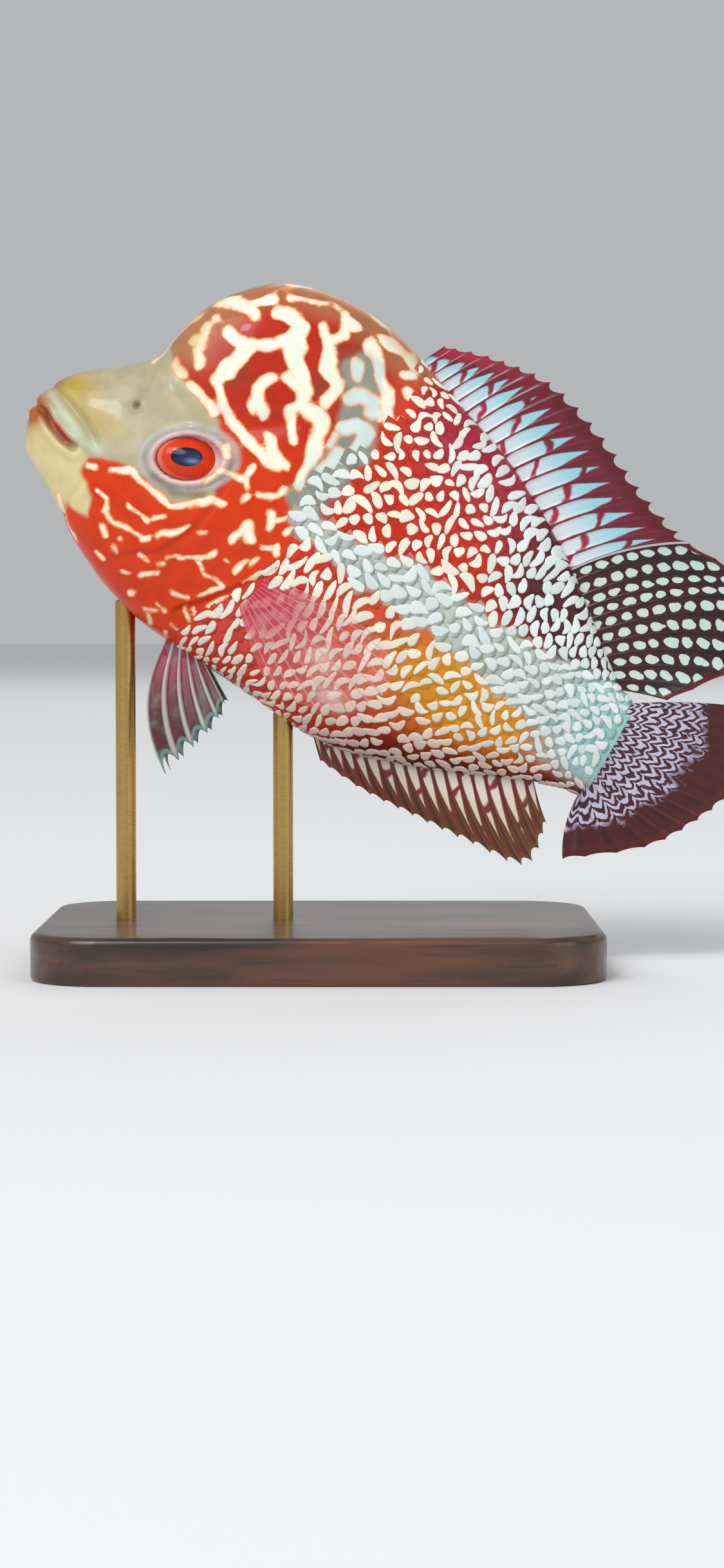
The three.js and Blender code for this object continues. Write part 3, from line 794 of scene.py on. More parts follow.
GAPE: Line = [(-4, 2.7), (0.4, 2.4), (2.3, 2), (3.9, 1), (6.1, 0.2), (7.9, 0)]
LIP_TOP: Line = [(-4, 6.2), (0.5, 5.6), (3.5, 4.9), (7.5, 3.4), (10.8, 1.3), (11.4, -0.7)]
JAW_REAR: Line = [(11.3, -0.8), (10.9, -4.5), (10.4, -8), (10.2, -14)]
HUMP_CREASE: Line = [
    (4, 18.2), (10.8, 17.1), (14.2, 15), (17.6, 13.3), (21.6, 12.2), (26, 12.9), (30, 16),
]
HEAD_REAR: Line = [
    (39, 44), (40, 33.5), (42.6, 29.5), (42.6, 23.5), (41.2, 19.5), (39.6, 15.5), (37, 11.5),
    (36.6, 8), (38.6, 2.5), (37.4, -2.2), (35.2, -6), (33.2, -9.5), (32, -13), (30.5, -24),
]
GILL_EDGE: Line = [
    (27.8, 10.4), (33.4, 9.2), (37.4, 5.6), (38.8, 1.6), (37.6, -1.9), (34.8, -5.4), (32.4, -8.6),
    (29.6, -11.4),
]
CHEEK_FOLD: Line = [(27.2, 8.6), (27.4, 3), (26.6, -2), (24, -6.5), (19.5, -9.3)]
NOSTRIL = (12.2, 8.6)


@dataclass(frozen=True)
class EyePlace:
    """Place, half sizes and turns of the eye, in the fish's frame."""

    x: float = 21.5
    z: float = 5.9
    y: float = 7.9
    long: float = 4.15
    tall: float = 2.8
    deep: float = 2.4
    roll: float = 0.5
    forward: float = 0.24
    up: float = 0.2

    def share(self, x: Array, z: Array) -> Array:
        """Measures the distance from the eye's middle as a share of its oval.

        Args:
            x: Places along the fish.
            z: Heights.

        Returns:
            Shares, 1 on the oval.
        """
        dx, dz = x - self.x, z - self.z
        along = dx * math.cos(self.roll) + dz * math.sin(self.roll)
        across = dz * math.cos(self.roll) - dx * math.sin(self.roll)
        return np.hypot(along / self.long, across / self.tall)


EYE = EyePlace()


@dataclass(frozen=True)
class Fold:
    """A fold in the skin: its height, its half width and how far it lies from what it follows."""

    high: float
    wide: float
    away: float = 0.0

    def lift(self, distance: Array) -> Array:
        """Returns the fold's height over a distance, as a bell curve."""
        return self.high * bell(distance - self.away, self.wide)


HUMP_SWELL, CHEEK_SWELL, SNOUT_DIP, EYE_BED, SLIT_END, SLIT_REAR = 0.9, 0.6, -0.7, -1.3, 0.25, 1.1
CREASE = Fold(-0.75, 1.5)
LIPS, LIP_FOOT = Fold(0.45, 0.8, 1.1), Fold(-0.3, 0.7)
LIP_EDGE, LIP_CREASE = Fold(0.22, 0.5, 1.0), Fold(-0.2, 0.4)
EYE_SOCKET = Fold(0.5, 0.2, 1.22)
EYE_LIDS = (Fold(0.26, 0.07, 1.13), Fold(-0.2, 0.06, 1.36), Fold(0.1, 0.07, 1.52))
NOSTRIL_RIM = (Fold(-0.75, 0.42), Fold(0.2, 0.25, 0.75))
# Folds along lines: the line, how far it is moved in x and z, and the fold.
LINE_FOLDS: tuple[tuple[Line, float, float, Fold], ...] = (
    (JAW_REAR, 0.0, 0.0, Fold(-0.25, 0.5)),
    (GILL_EDGE, 0.0, 0.0, Fold(-0.4, 0.3)),
    (GILL_EDGE, -0.7, 0.0, Fold(0.22, 0.6)),
    (CHEEK_FOLD, 0.0, 0.0, Fold(-0.22, 0.45)),
    (CHEEK_FOLD, -0.8, 0.3, Fold(0.14, 0.6)),
)


def relief(x: Array, z: Array) -> Array:
    """Works out how far the side stands out of its plain section: hump, cheek, eye socket, lips, creases.

    Args:
        x: Places along the fish.
        z: Heights.

    Returns:
        Millimetres outwards.
    """
    at_mouth = 1 - smooth(8.5, 11.5, x)
    lips = LIPS.lift(distance_to(GAPE, x, z)) + LIP_FOOT.lift(distance_to(LIP_TOP, x, z))
    return (
        HUMP_SWELL * mound(x, z, (20.5, 24.5), (8, 6.5))
        + CHEEK_SWELL * mound(x, z, (23.5, -3.5), (5.5, 4.5))
        + SNOUT_DIP * mound(x, z, (13.5, 8.0), (4, 3.5))
        + CREASE.lift(distance_to(HUMP_CREASE, x, z))
        + EYE_SOCKET.lift(EYE.share(x, z))
        + at_mouth * lips
    )


def fine_relief(x: Array, z: Array) -> Array:
    """Works out the finer folds along the normal: mouth, lids, nostril, jaw, gill edge and cheek fold.

    Args:
        x: Places along the fish.
        z: Heights.

    Returns:
        Millimetres outwards.
    """
    at_mouth = 1 - smooth(7.4, 8.6, x)
    gape, share = distance_to(GAPE, x, z), EYE.share(x, z)
    nostril = np.hypot(x - NOSTRIL[0], z - NOSTRIL[1])
    slit = -mix(SLIT_END, SLIT_REAR, smooth(0.6, 3.2, x)) * bell(gape, 0.4)
    total = at_mouth * (slit + LIP_EDGE.lift(gape)) + EYE_BED * smooth(1.03, 0.9, share)
    total += LIP_CREASE.lift(distance_to(LIP_TOP, x, z)) * (1 - smooth(11.0, 13.0, x))
    total += sum(fold.lift(share) for fold in EYE_LIDS) + sum(fold.lift(nostril) for fold in NOSTRIL_RIM)
    for line, dx, dz, fold in LINE_FOLDS:
        total += fold.lift(distance_to(line, x - dx, z - dz))
    return total


@dataclass
class BodyForm:
    """The body's surface: half rings of points, even along each ring from belly to back, on the left side."""

    inset: float = 0.16
    head_rings: int = 210
    body_rings: int = 130
    columns: int = 145
    fine_columns: int = 900
    first_place: float = 0.035
    head_end: float = 12.6

    def __post_init__(self) -> None:
        """Works out the surface, its normals and its lengths."""
        place = np.concatenate([
            np.linspace(self.first_place, self.head_end, self.head_rings, endpoint=False),
            np.linspace(self.head_end, len(SECTIONS) - 1, self.body_rings),
        ])
        self.points = self.even(self.rings(place))
        fine = fine_relief(self.points[..., 0], self.points[..., 2])
        self.normals = self.find_normals()
        self.points = self.points + self.normals * fine[..., None]
        self.points[:, 0, 1] = self.points[:, -1, 1] = 0.0
        self.normals = self.find_normals()
        self.half_ring = np.linalg.norm(np.diff(self.points, axis=1), axis=2).sum(axis=1)
        keel = spline(SECTIONS, place)
        middle_z = mix(keel[:, 3], keel[:, 1], keel[:, 5])
        self.middle = np.array([np.interp(mz, row[:, 2], np.linspace(0, 1, self.columns))
                                for mz, row in zip(middle_z, self.points)])
        lateral = self.sample(np.arange(len(place)), self.middle)[0]
        self.along = np.concatenate([[0.0], np.cumsum(np.linalg.norm(np.diff(lateral, axis=0), axis=1))])

    def rings(self, place: Array) -> Array:
        """Works out half rings at even angles: a squared oval on the line from belly to back, plus relief.

        Args:
            place: Fractional section numbers.

        Returns:
            Points, ring by ring, in millimetres.
        """
        bx, bz, vx, vz, half, widest, upper, lower = spline(SECTIONS, place).T[:, :, None]
        length = np.maximum(1e-3, np.hypot(bx - vx, bz - vz))
        ux, uz = (bx - vx) / length, (bz - vz) / length
        angle = np.linspace(0.0, math.pi, self.fine_columns)[None, :]
        up = (1 - np.cos(angle)) / 2
        inset = np.minimum(self.inset, length / 2)
        along = mix(inset, length - inset, up ** (np.log(widest) / math.log(0.5)))
        x, z = vx + ux * along, vz + uz * along
        bulge = np.abs(np.sin(angle)) ** mix(lower, upper, smooth(0.2, 0.8, up))
        out = relief(x, z) * np.sqrt(bulge) * smooth(0, 3, half)
        width = np.maximum(0, np.maximum(0.05, half - self.inset) * bulge + out)
        return np.stack([x, -width, z], axis=-1)

    def even(self, points: Array) -> Array:
        """Moves each half ring's points to even distances from belly to back.

        Args:
            points: Points, ring by ring.

        Returns:
            As many points in each ring as there are columns.
        """
        steps = np.linalg.norm(np.diff(points, axis=1), axis=2)
        run = np.concatenate([np.zeros((len(points), 1)), np.cumsum(steps, axis=1)], axis=1)
        made = np.empty((len(points), self.columns, 3))
        for r, (ring, length) in enumerate(zip(points, run)):
            at = np.linspace(0.0, length[-1], self.columns)
            made[r] = np.stack([np.interp(at, length, ring[:, n]) for n in range(3)], axis=1)
        return made

    def find_normals(self) -> Array:
        """Works out outward normals: the cross product of the slopes along and round the body.

        Returns:
            A direction of length 1 for each point.
        """
        mirrored = self.points * [1, -1, 1]
        whole = np.concatenate([mirrored[:, 2:0:-1], self.points, mirrored[:, -2:-4:-1]], axis=1)
        normal = np.cross(np.gradient(whole, axis=1), np.gradient(whole, axis=0))[:, 2:-2]
        normal /= np.maximum(1e-9, np.linalg.norm(normal, axis=2, keepdims=True))
        return normal if normal[len(normal) // 2, self.columns // 2, 1] < 0 else -normal

    def sample(self, ring: Array, rise: Array) -> tuple[Array, Array]:
        """Reads the left side between its points.

        Args:
            ring: Fractional ring numbers.
            rise: Shares of the way from belly to back.

        Returns:
            Points and normals.
        """
        ring = np.clip(ring, 0, len(self.points) - 1.001)
        column = np.clip(rise, 0, 1) * (self.columns - 1.001)
        i, j = np.floor(ring).astype(int), np.floor(column).astype(int)
        s, t = (ring - i)[..., None], (column - j)[..., None]
        point, normal = (mix(mix(a[i, j], a[i + 1, j], s), mix(a[i, j + 1], a[i + 1, j + 1], s), t)
                         for a in (self.points, self.normals))
        return point, normal / np.linalg.norm(normal, axis=-1, keepdims=True)

    def from_lengths(self, along: Array, off: Array) -> tuple[Array, Array]:
        """Finds places on the flank from lengths on it.

        Args:
            along: Lengths along the flank's middle.
            off: Lengths up or down from it.

        Returns:
            Fractional rings, and shares of the way from belly to back.
        """
        numbers = np.arange(len(self.along))
        ring = np.interp(along, self.along, numbers)
        middle, whole = np.interp(ring, numbers, self.middle), np.interp(ring, numbers, self.half_ring)
        return ring, middle + off / whole

    def edge_z(self, x: Array, back: bool) -> Array:
        """Returns the height of the back's or belly's outline at x, behind the head."""
        edge = self.points[self.head_rings // 2:, -1 if back else 0]
        return np.interp(x, edge[:, 0], edge[:, 2])


# Colours of the skin

class Measure(Enum):
    """What a ramp can run over, by the name of the spot's property."""

    X = "x"
    Z = "z"
    RISE = "rise"
    SLANT = "slant"
    EYE = "eye"
    TRUE_X = "at_x"


X, Z, RISE, SLANT, BY_EYE, TRUE_X = Measure


@dataclass(frozen=True)
class Spot:
    """Places on the skin: their points, and the share of the way from belly to back.

    The markings were measured as they appear on the midline plane from the photograph's distance, so x
    and z are the point of that plane that each place covers. Its own x and z are at_x and at_z.
    """

    points: Array
    rise: Array
    distance: float = 400.0
    view_x: float = 50.9
    view_z: float = -1.4

    @property
    def spread(self) -> Array:
        """How much nearer than the midline plane each place is, as a scale."""
        return self.distance / (self.distance - np.abs(self.points[..., 1]))

    @property
    def x(self) -> Array:
        """Distance back from the mouth, as it appears."""
        return self.view_x + (self.points[..., 0] - self.view_x) * self.spread

    @property
    def z(self) -> Array:
        """Height in the fish's frame, as it appears."""
        return self.view_z + (self.points[..., 2] - self.view_z) * self.spread

    @property
    def at_x(self) -> Array:
        """Distance back from the mouth."""
        return self.points[..., 0]

    @property
    def at_z(self) -> Array:
        """Height in the fish's frame."""
        return self.points[..., 2]

    @property
    def slant(self) -> Array:
        """Height over a line that climbs with the hump's foot."""
        return self.z - 0.12 * (self.x - 20)

    @property
    def eye(self) -> Array:
        """Distance from the eye's middle as a share of its oval."""
        return EYE.share(self.at_x, self.at_z)

    def pick(self, keep: Array) -> "Spot":
        """Returns only the places to keep."""
        return Spot(self.points[keep], self.rise[keep])


class Curve(Protocol):
    """Says how strongly something covers each place on the skin."""

    def __call__(self, spot: Spot) -> Array:
        """Returns 0 to 1 for each place."""


@dataclass(frozen=True)
class Ramp:
    """An S-curve over one measure, which may run downwards."""

    measure: Measure
    low: float
    high: float

    def __call__(self, spot: Spot) -> Array:
        """Returns 0 to 1 for each place."""
        return smooth(self.low, self.high, getattr(spot, self.measure.value))


@dataclass(frozen=True)
class Mound:
    """An oval bell curve about a centre."""

    centre: Pair
    radii: Pair

    def __call__(self, spot: Spot) -> Array:
        """Returns 0 to 1 for each place."""
        return mound(spot.x, spot.z, self.centre, self.radii)


@dataclass(frozen=True)
class Near:
    """A bell curve over the distance to a line, as it appears or where it truly lies."""

    line: Line
    width: float
    true_place: bool = False

    def __call__(self, spot: Spot) -> Array:
        """Returns 0 to 1 for each place."""
        x, z = (spot.at_x, spot.at_z) if self.true_place else (spot.x, spot.z)
        return bell(distance_to(self.line, x, z), self.width)


@dataclass(frozen=True)
class EyeRing:
    """A narrow ring round the eye, at a share of its oval."""

    share: float
    width: float

    def __call__(self, spot: Spot) -> Array:
        """Returns 0 to 1 for each place."""
        return bell(spot.eye - self.share, self.width)


@dataclass(frozen=True)
class Area:
    """The inside of an outline, with a soft and uneven edge."""

    outline: Line
    soft: float
    ragged: float = 0.4

    def __call__(self, spot: Spot) -> Array:
        """Returns 0 to 1 for each place."""
        uneven = value_noise(spot.x, spot.z, 2.0, 5) * self.ragged
        return smooth(self.soft, -self.soft, signed_distance(self.outline, spot.x, spot.z) + uneven)


@dataclass(frozen=True)
class Band:
    """A band along a line, with its half width given at some x, and an uneven edge."""

    line: Line
    widths: Line
    soft: float = 0.5
    ragged: float = 0.8

    def __call__(self, spot: Spot) -> Array:
        """Returns 0 to 1 for each place."""
        width = np.interp(spot.x, *zip(*self.widths)) - value_noise(spot.x, spot.z, 2.2, 11) * self.ragged
        return smooth(self.soft, -self.soft, distance_to(self.line, spot.x, spot.z) - width)


class Cover:
    """The product of some curves and a strength, up to 1."""

    def __init__(self, strength: float, *curves: Curve) -> None:
        """Keeps the strength and the curves."""
        self.strength = strength
        self.curves = curves

    def __call__(self, spot: Spot) -> Array:
        """Returns 0 to 1 for each place."""
        return np.clip(math.prod((curve(spot) for curve in self.curves), start=self.strength), 0, 1)


FACE: Line = [
    (-6, 4.5), (-2, 14), (4, 19.5), (11.2, 17.6), (12.3, 16.5), (15.8, 14.9), (20.6, 13.2), (22.8, 11.2),
    (24.8, 8.2), (25.6, 6.4), (25.4, 4.2), (26.4, 3), (24.7, 1.1), (22, 0.1), (19.4, 0.1), (16.8, 0.9),
    (15.1, 1.2), (13.1, 0.9), (10.9, 0.6), (9, 0), (7.6, 0), (4, 1.4), (0, 2.6),
]
CHIN: Line = [
    (-6, 2.6), (2.2, 2.1), (6.1, 0.2), (7.9, 0.2), (9, -0.3), (10.1, -2.7), (12.2, -4.6), (13.2, -6.9),
    (10, -6.6), (9.9, -7.9), (8.4, -9), (3, -10), (-5, -3),
]
UPPER_LIP: Line = [(1.4, 4.4), (2.7, 3.6), (5.6, 2.1), (7.7, 1.3), (9.9, 1.4)]
# The line below the eye along which painted crease shade is laid.
EYE_FOLD: Line = [(18, 1.9), (21.5, 1.3), (24.8, 2.9)]
HEAD_AREA: Line = [(-9, 50), *HEAD_REAR, (-9, -24)]
CROWN: Line = [(12, 20.5), *SECTIONS[8:14, :2].tolist(), (41, 32)]
NAPE = Band(
    [(34.4, 27.4), (36.2, 23.5), (38.2, 20), (38.2, 16.5), (37.3, 13), (36.6, 9.6)],
    [(34, 2.2), (38, 2.7)])
FLANK = Band(
    [(37, 6.4), (43, 5.4), (48.5, 5.2), (53.7, 5.4), (59.4, 4.9), (65.1, 4.2), (71.1, 2.8), (77.5, 2.7),
     (84, 3), (92, 3)],
    [(38, 1.2), (42, 1.7), (49, 2.7), (55, 3.4), (66, 3.1), (74, 4.4), (86, 4.8)])

# Cream strokes on hump, cheek and gill cover: half width, then x and z of each point.
STROKES: Rows = (
    (0.83, 14.4, 25.3, 15.7, 26.2, 17, 26.5, 18.5, 26.5, 19.1, 26.4), (0.61, 18, 29.6, 19.2, 30.2),
    (1, 21.8, 28.3, 23.1, 28.7, 24.7, 28.4, 25.4, 28, 25.4, 26.8, 25.3, 26),
    (0.81, 22.2, 23.6, 23.6, 24.6, 25.3, 25.7), (0.96, 17.4, 22.7, 18.5, 22.5, 20.2, 22.6, 21, 23),
    (1.13, 20.7, 22.6, 20.2, 20.8, 19.8, 19.4, 19.8, 18.1), (0.87, 19.9, 17.9, 19.4, 16.6),
    (0.68, 19.3, 16.6, 20.4, 15.2, 21.6, 14.1, 23.2, 13, 24.9, 12.2, 26.7, 11.7, 28.6, 11.3, 30.3, 11,
     31.4, 10.9),
    (0.7, 28.5, 13.6, 29.4, 12.5, 30.9, 11.3, 32.1, 11.3),
    (1.26, 25.6, 25.6, 26.4, 24.1, 27.5, 23, 28.9, 22, 29.6, 21.1),
    (0.78, 26.5, 21.4, 27.8, 21.1, 29.4, 21), (0.83, 24.9, 20.2, 24.5, 18.5, 25, 17.3, 24.6, 15.8),
    (0.87, 25.2, 17.4, 26.6, 16.2), (0.87, 29.7, 20.9, 30.4, 19.3),
    (0.7, 30.5, 19.1, 29.4, 18, 30.1, 16.7, 31.4, 14.9),
    (0.96, 30.5, 19.1, 31.8, 18.9, 33.3, 19, 33.9, 17.8, 34, 16.4, 34.7, 15.2, 34.7, 13.5),
    (0.74, 34.7, 13.5, 34.6, 11.7, 35.1, 10),
    (0.63, 27.7, 29.3, 29, 28.3, 29.7, 28.9, 30.2, 30.2, 29.8, 31.8, 28.9, 33, 27.6, 33),
    (0.92, 29.3, 28.2, 30, 26.6, 30.7, 25, 32.3, 23.9, 33.1, 22.9, 32.6, 21.1),
    (1, 33.9, 27.3, 34.6, 26.2),
    (0.81, 34, 30.6, 35.4, 29.4, 36.8, 28.2, 37.8, 27, 39.2, 26.3, 40.2, 24.4, 41, 22.6),
    (0.61, 35.4, 32.9, 37, 32.8), (0.52, 22.2, 30.7, 23.7, 31.5, 25, 31.8),
    (0.39, 25.8, 31.8, 26.8, 32.7), (0.74, 40, 29.3, 40.6, 29.9), (0.78, 41.5, 27.4, 41.8, 27),
    (0.65, 42.6, 23.7, 42.9, 22.4, 43.8, 21.7), (0.92, 35.2, 23.1, 36.3, 24.2, 38.3, 24.3, 38.7, 22.8),
    (1.05, 36.3, 19.4, 37.5, 20.4, 39.3, 19.9, 39.4, 17.9, 38.7, 15.5),
    (0.61, 14.3, 22.2, 14.9, 20.6, 15.1, 18.9, 16.4, 17.4),
    (0.61, 12, 19, 12.4, 17.4, 13.6, 15.8, 15.1, 15.4),
    (0.61, 16.3, 14.6, 17.7, 14.2, 19.5, 13.7, 20.9, 13), (0.35, 12.9, 24.5, 12.8, 23.4),
    (0.39, 13.1, 20.6, 12.8, 19.4), (0.52, 24.5, 10, 25.3, 8.9),
    (0.52, 25, 6.7, 26.8, 7, 28.3, 7.4, 28.8, 9.2), (0.48, 28.8, 7.4, 29.3, 6.5),
    (0.39, 24.3, 4.6, 24.7, 5.5), (0.74, 42.4, 18.4, 44.2, 18.4), (0.87, 36.7, 12.9, 37, 14.7, 37.3, 16.3),
    (0.65, 39, 14.6, 39.8, 16.4), (0.65, 39.8, 18.6, 40, 20.2), (0.44, 35.9, 16.7, 35.8, 18.1),
    (0.57, 38.6, 24.2, 39.7, 22.6),
    (0.28, 8.6, -6.4, 10.8, -8.8, 13.4, -10.6), (0.3, 20.6, -2.6, 21.4, -2.2),
    (0.2, 16.2, -10.2, 17.6, -10.6), (0.22, 26.4, -12.2, 28, -12.6), (0.24, 24.9, -6.2, 26, -5.6),
    (0.52, 29.8, 5.3, 29.6, 5), (0.42, 31.1, 6.3, 33.3, 7.2, 33.6, 8.5), (0.63, 33.5, 5.4, 34.1, 3.4),
    (0.45, 10.2, -1.1, 11.1, -1), (0.35, 12.4, -3.5, 14.2, -3.7, 14.9, -4.9),
    (0.22, 14.9, -4.9, 16, -5.7, 18.5, -5.7, 20.2, -5.7), (0.41, 20.7, -5.9, 21.2, -5.5),
    (0.35, 17.1, -3.2, 19.8, -3.3), (0.35, 22.4, -4.8, 23.7, -3.2, 25.1, -1.7),
    (0.37, 15.3, -6.8, 16.2, -7.7), (0.3, 18, -7.5, 18.1, -7.5), (0.24, 17.5, -8.6, 18.4, -8.9),
    (0.22, 21.5, -8, 22.8, -8.3), (0.35, 23.9, -7.8, 24.5, -7.4), (0.18, 20.3, -10.9, 21.4, -10.8),
    (0.32, 22.8, -10.3, 24.6, -9), (0.37, 12.8, -0.5, 14.8, 0.9),
    (0.42, 15.5, 1, 19.1, 0.3, 21.8, -0.3, 24.3, 0.9, 25.7, 2.4, 27.5, 3.1), (0.26, 26.2, -5.8, 29.8, -3),
    (0.29, 28.6, -4.8, 30.2, -5.7, 32.8, -6.3, 30.7, -8.5), (0.22, 27.5, -10, 29.5, -9.6),
    (0.29, 22.8, -13.1, 23.3, -13), (0.64, 31.1, -0.1, 31.6, 2.3, 33.2, 0.8),
    (0.32, 34.8, 0.6, 36.3, 1.8, 36.9, 0.7), (0.22, 31.5, -3, 31.8, -2.7), (0.26, 33.2, -3.5, 33.6, -2.3),
    (0.26, 34.6, -1.7, 35, -1.1), (0.26, 35, -4.4, 36.7, -1.5, 40.1, 0.3, 40.7, 2.4),
    (0.26, 32.6, -9.3, 34, -7.2, 34.6, -6.3), (0.22, 25.4, -13.6, 26.9, -12.9),
    (0.18, 26, -13.8, 27, -14.7), (0.16, 27.4, -12.1, 27.9, -12.4), (0.2, 29.9, -10.8, 31.2, -11.9),
    (0.18, 31, -10.3, 31.8, -10.9), (0.2, 29.3, -13.7, 30.3, -13.8), (0.2, 30.8, -13.5, 31.8, -13.1),
    (0.22, 32.5, -13.5, 33.7, -13.8), (0.2, 29.2, -15, 29.5, -15.8), (0.22, 33.7, -11.9, 34, -13.3),
    (0.34, 34.8, 4.8, 36.4, 6.5), (0.4, 36.6, 3.7, 37.1, 4.9, 38.3, 4.8),
    (0.3, 34.8, 0.5, 35.5, 1.4, 36.8, 1.3, 37.1, 0.7), (0.26, 36.5, -2, 37.9, -0.4, 40.1, 0.5, 40.6, 2.3),
    (0.28, 35.1, -4.2, 36.4, -2.4), (0.2, 31.5, -2.9, 32, -3), (0.24, 33.1, -3.5, 33.8, -2),
    (0.2, 34.8, -1.9, 35.1, -0.9), (0.2, 21.8, -8.1, 22.7, -8.2), (0.18, 26.7, -2, 27.4, -1),
)


def near_crown(spot: Spot) -> Array:
    """Returns 1 close to the hump's outline, fading inwards with an uneven edge."""
    uneven = value_noise(spot.x, spot.z, 3.0, 31) * 0.8
    return smooth(4.8, 1.6, distance_to(CROWN, spot.x, spot.z) + uneven)


def on_bands(spot: Spot) -> Array:
    """Returns how much each place lies on the two pale bands."""
    return np.clip(NAPE(spot) + FLANK(spot), 0, 1)


class Tint(Enum):
    """The paints of the skin, as display colours."""

    FLANK = (202, 42, 16)
    CRIMSON = (166, 36, 58)
    MAROON = (74, 18, 28)
    BELLY = (214, 58, 52)
    MAGENTA = (212, 48, 92)
    SALMON = (228, 92, 72)
    WHITE = (244, 230, 214)
    BROWN = (104, 40, 26)
    AMBER = (222, 146, 28)
    CHEEK = (216, 56, 4)
    HUMP = (192, 42, 18)
    OLIVE_TAN = (172, 136, 92)
    HUMP_BROWN = (142, 66, 40)
    HUMP_FRONT = (178, 118, 78)
    NAPE = (146, 152, 138)
    BAND = (186, 198, 188)
    TURQUOISE = (158, 204, 202)
    FACE = (182, 172, 138)
    CHIN = (220, 204, 150)
    SNOUT = (186, 160, 62)
    SNOUT_BROWN = (132, 92, 56)
    ORANGE_TIP = (176, 92, 30)
    LIP = (200, 210, 178)
    EYE_RING = (232, 200, 196)
    EYE_LID = (186, 182, 176)
    # Painted shade in the creases round the eye.
    EYE_FOLD = (140, 108, 98)
    # Painted shade in the mouth's slit.
    MOUTH = (150, 56, 34)
    # Painted shade in the nostril's pit.
    NOSTRIL = (136, 122, 98)
    BAND_SHADE = (88, 108, 98)
    INK = (248, 245, 220)
    INK_NAPE = (208, 222, 216)
    INK_EDGE = (214, 192, 138)
    PEARL = (250, 245, 224)
    PEARL_COOL = (230, 240, 237)
    PEARL_PINK = (240, 206, 192)


# Washes of paint in the order they are laid: the paint, and how strongly it covers each place.
WASHES: tuple[tuple[Tint, Curve], ...] = (
    (Tint.CRIMSON, Cover(1, Ramp(RISE, 0.66, 0.9), Ramp(X, 40, 50))),
    (Tint.MAROON, Cover(1, Ramp(RISE, 0.52, 0.72), Ramp(X, 58, 69))),
    (Tint.BELLY, Cover(1, Ramp(RISE, 0.36, 0.16), Ramp(X, 62, 48))),
    (Tint.SALMON, Cover(0.9, Mound((50, -7), (11, 7)))),
    (Tint.MAGENTA, Cover(0.9, Mound((41.5, -5.0), (4.5, 3.0)))),
    (Tint.WHITE, Cover(0.9, Mound((48.4, -8.0), (1.9, 1.6)))),
    (Tint.WHITE, Cover(0.9, Mound((51.9, -11.9), (2.2, 1.3)))),
    (Tint.AMBER, Cover(1.7, Mound((67, -3.6), (10.5, 5.2)))),
    (Tint.BROWN, Cover(1, Ramp(RISE, 0.22, 0.06), Ramp(X, 50, 60))),
    (Tint.CHEEK, Area(HEAD_AREA, 1.2)),
    (Tint.HUMP, Cover(1, Ramp(SLANT, 10, 16), Ramp(X, 42, 38))),
    (Tint.OLIVE_TAN, Cover(0.75, Ramp(RISE, 0.88, 0.97), Ramp(X, 41, 34), Ramp(X, 8, 11))),
    (Tint.HUMP_BROWN, Cover(0.9, Mound((34.0, 27.0), (3.4, 4.6)))),
    (Tint.HUMP_BROWN, Cover(0.6, Mound((21.0, 18.5), (2.2, 2.2)))),
    (Tint.HUMP_BROWN, Cover(0.7, Mound((31.0, 22.5), (1.6, 3.0)))),
    (Tint.HUMP_FRONT, Cover(0.8, near_crown)),
    (Tint.HUMP_FRONT, Cover(1.4, Mound((13.0, 21.0), (3.0, 6.5)))),
    (Tint.NAPE, NAPE),
    (Tint.BAND, FLANK),
    (Tint.TURQUOISE, Cover(1, Ramp(X, 74, 84), Ramp(Z, -7, -4), Ramp(Z, 9, 6))),
    (Tint.FACE, Area(FACE, 0.35)),
    (Tint.CHIN, Area(CHIN, 0.4)),
    (Tint.SNOUT, Mound((3.6, 6.8), (2.8, 2.4))),
    (Tint.SNOUT, Cover(0.7, Mound((8.5, 4.6), (2.8, 1.6)))),
    (Tint.SNOUT_BROWN, Cover(0.8, Mound((0.9, 6.2), (1.2, 2.2)))),
    (Tint.LIP, Near(UPPER_LIP, 0.85)),
    (Tint.ORANGE_TIP, Cover(1.3, Mound((0.4, 1.6), (1.7, 2.6)))),
    (Tint.EYE_LID, Cover(0.85, Ramp(BY_EYE, 1.7, 1.5))),
    # Painted shade along the fold below the eye and in the groove round it.
    (Tint.EYE_FOLD, Cover(0.7, Near(EYE_FOLD, 0.55))),
    (Tint.EYE_FOLD, Cover(0.35, EyeRing(1.36, 0.05))),
    (Tint.EYE_RING, Ramp(BY_EYE, 1.24, 1.14)),
    # Painted shade in the mouth's slit along the gape.
    (Tint.MOUTH, Cover(1, Near(GAPE, 0.38, True), Ramp(TRUE_X, 8.0, 7.0), Ramp(TRUE_X, 0.8, 2.4))),
    # Painted shade in the nostril's pit.
    (Tint.NOSTRIL, Near([NOSTRIL, NOSTRIL], 0.42, True)),
)


def ground_colour(spot: Spot) -> Array:
    """Works out the skin's colour, by laying the washes in order.

    Args:
        spot: Places on the skin.

    Returns:
        Colours in linear light.
    """
    ground = np.broadcast_to(linear(Tint.FLANK.value), (*spot.x.shape, 3))
    for tint, curve in WASHES:
        ground = mix(ground, linear(tint.value), curve(spot)[..., None])
    return ground


def shade_colour(spot: Spot, ground: Array) -> Array:
    """Returns the darker tone of each place: a deeper ground, greyer on the pale bands. It mottles the skin,
    and on the scale plates it is painted shade towards each rim.
    """
    return mix(ground * 0.5, linear(Tint.BAND_SHADE.value), on_bands(spot)[..., None] * 0.9)


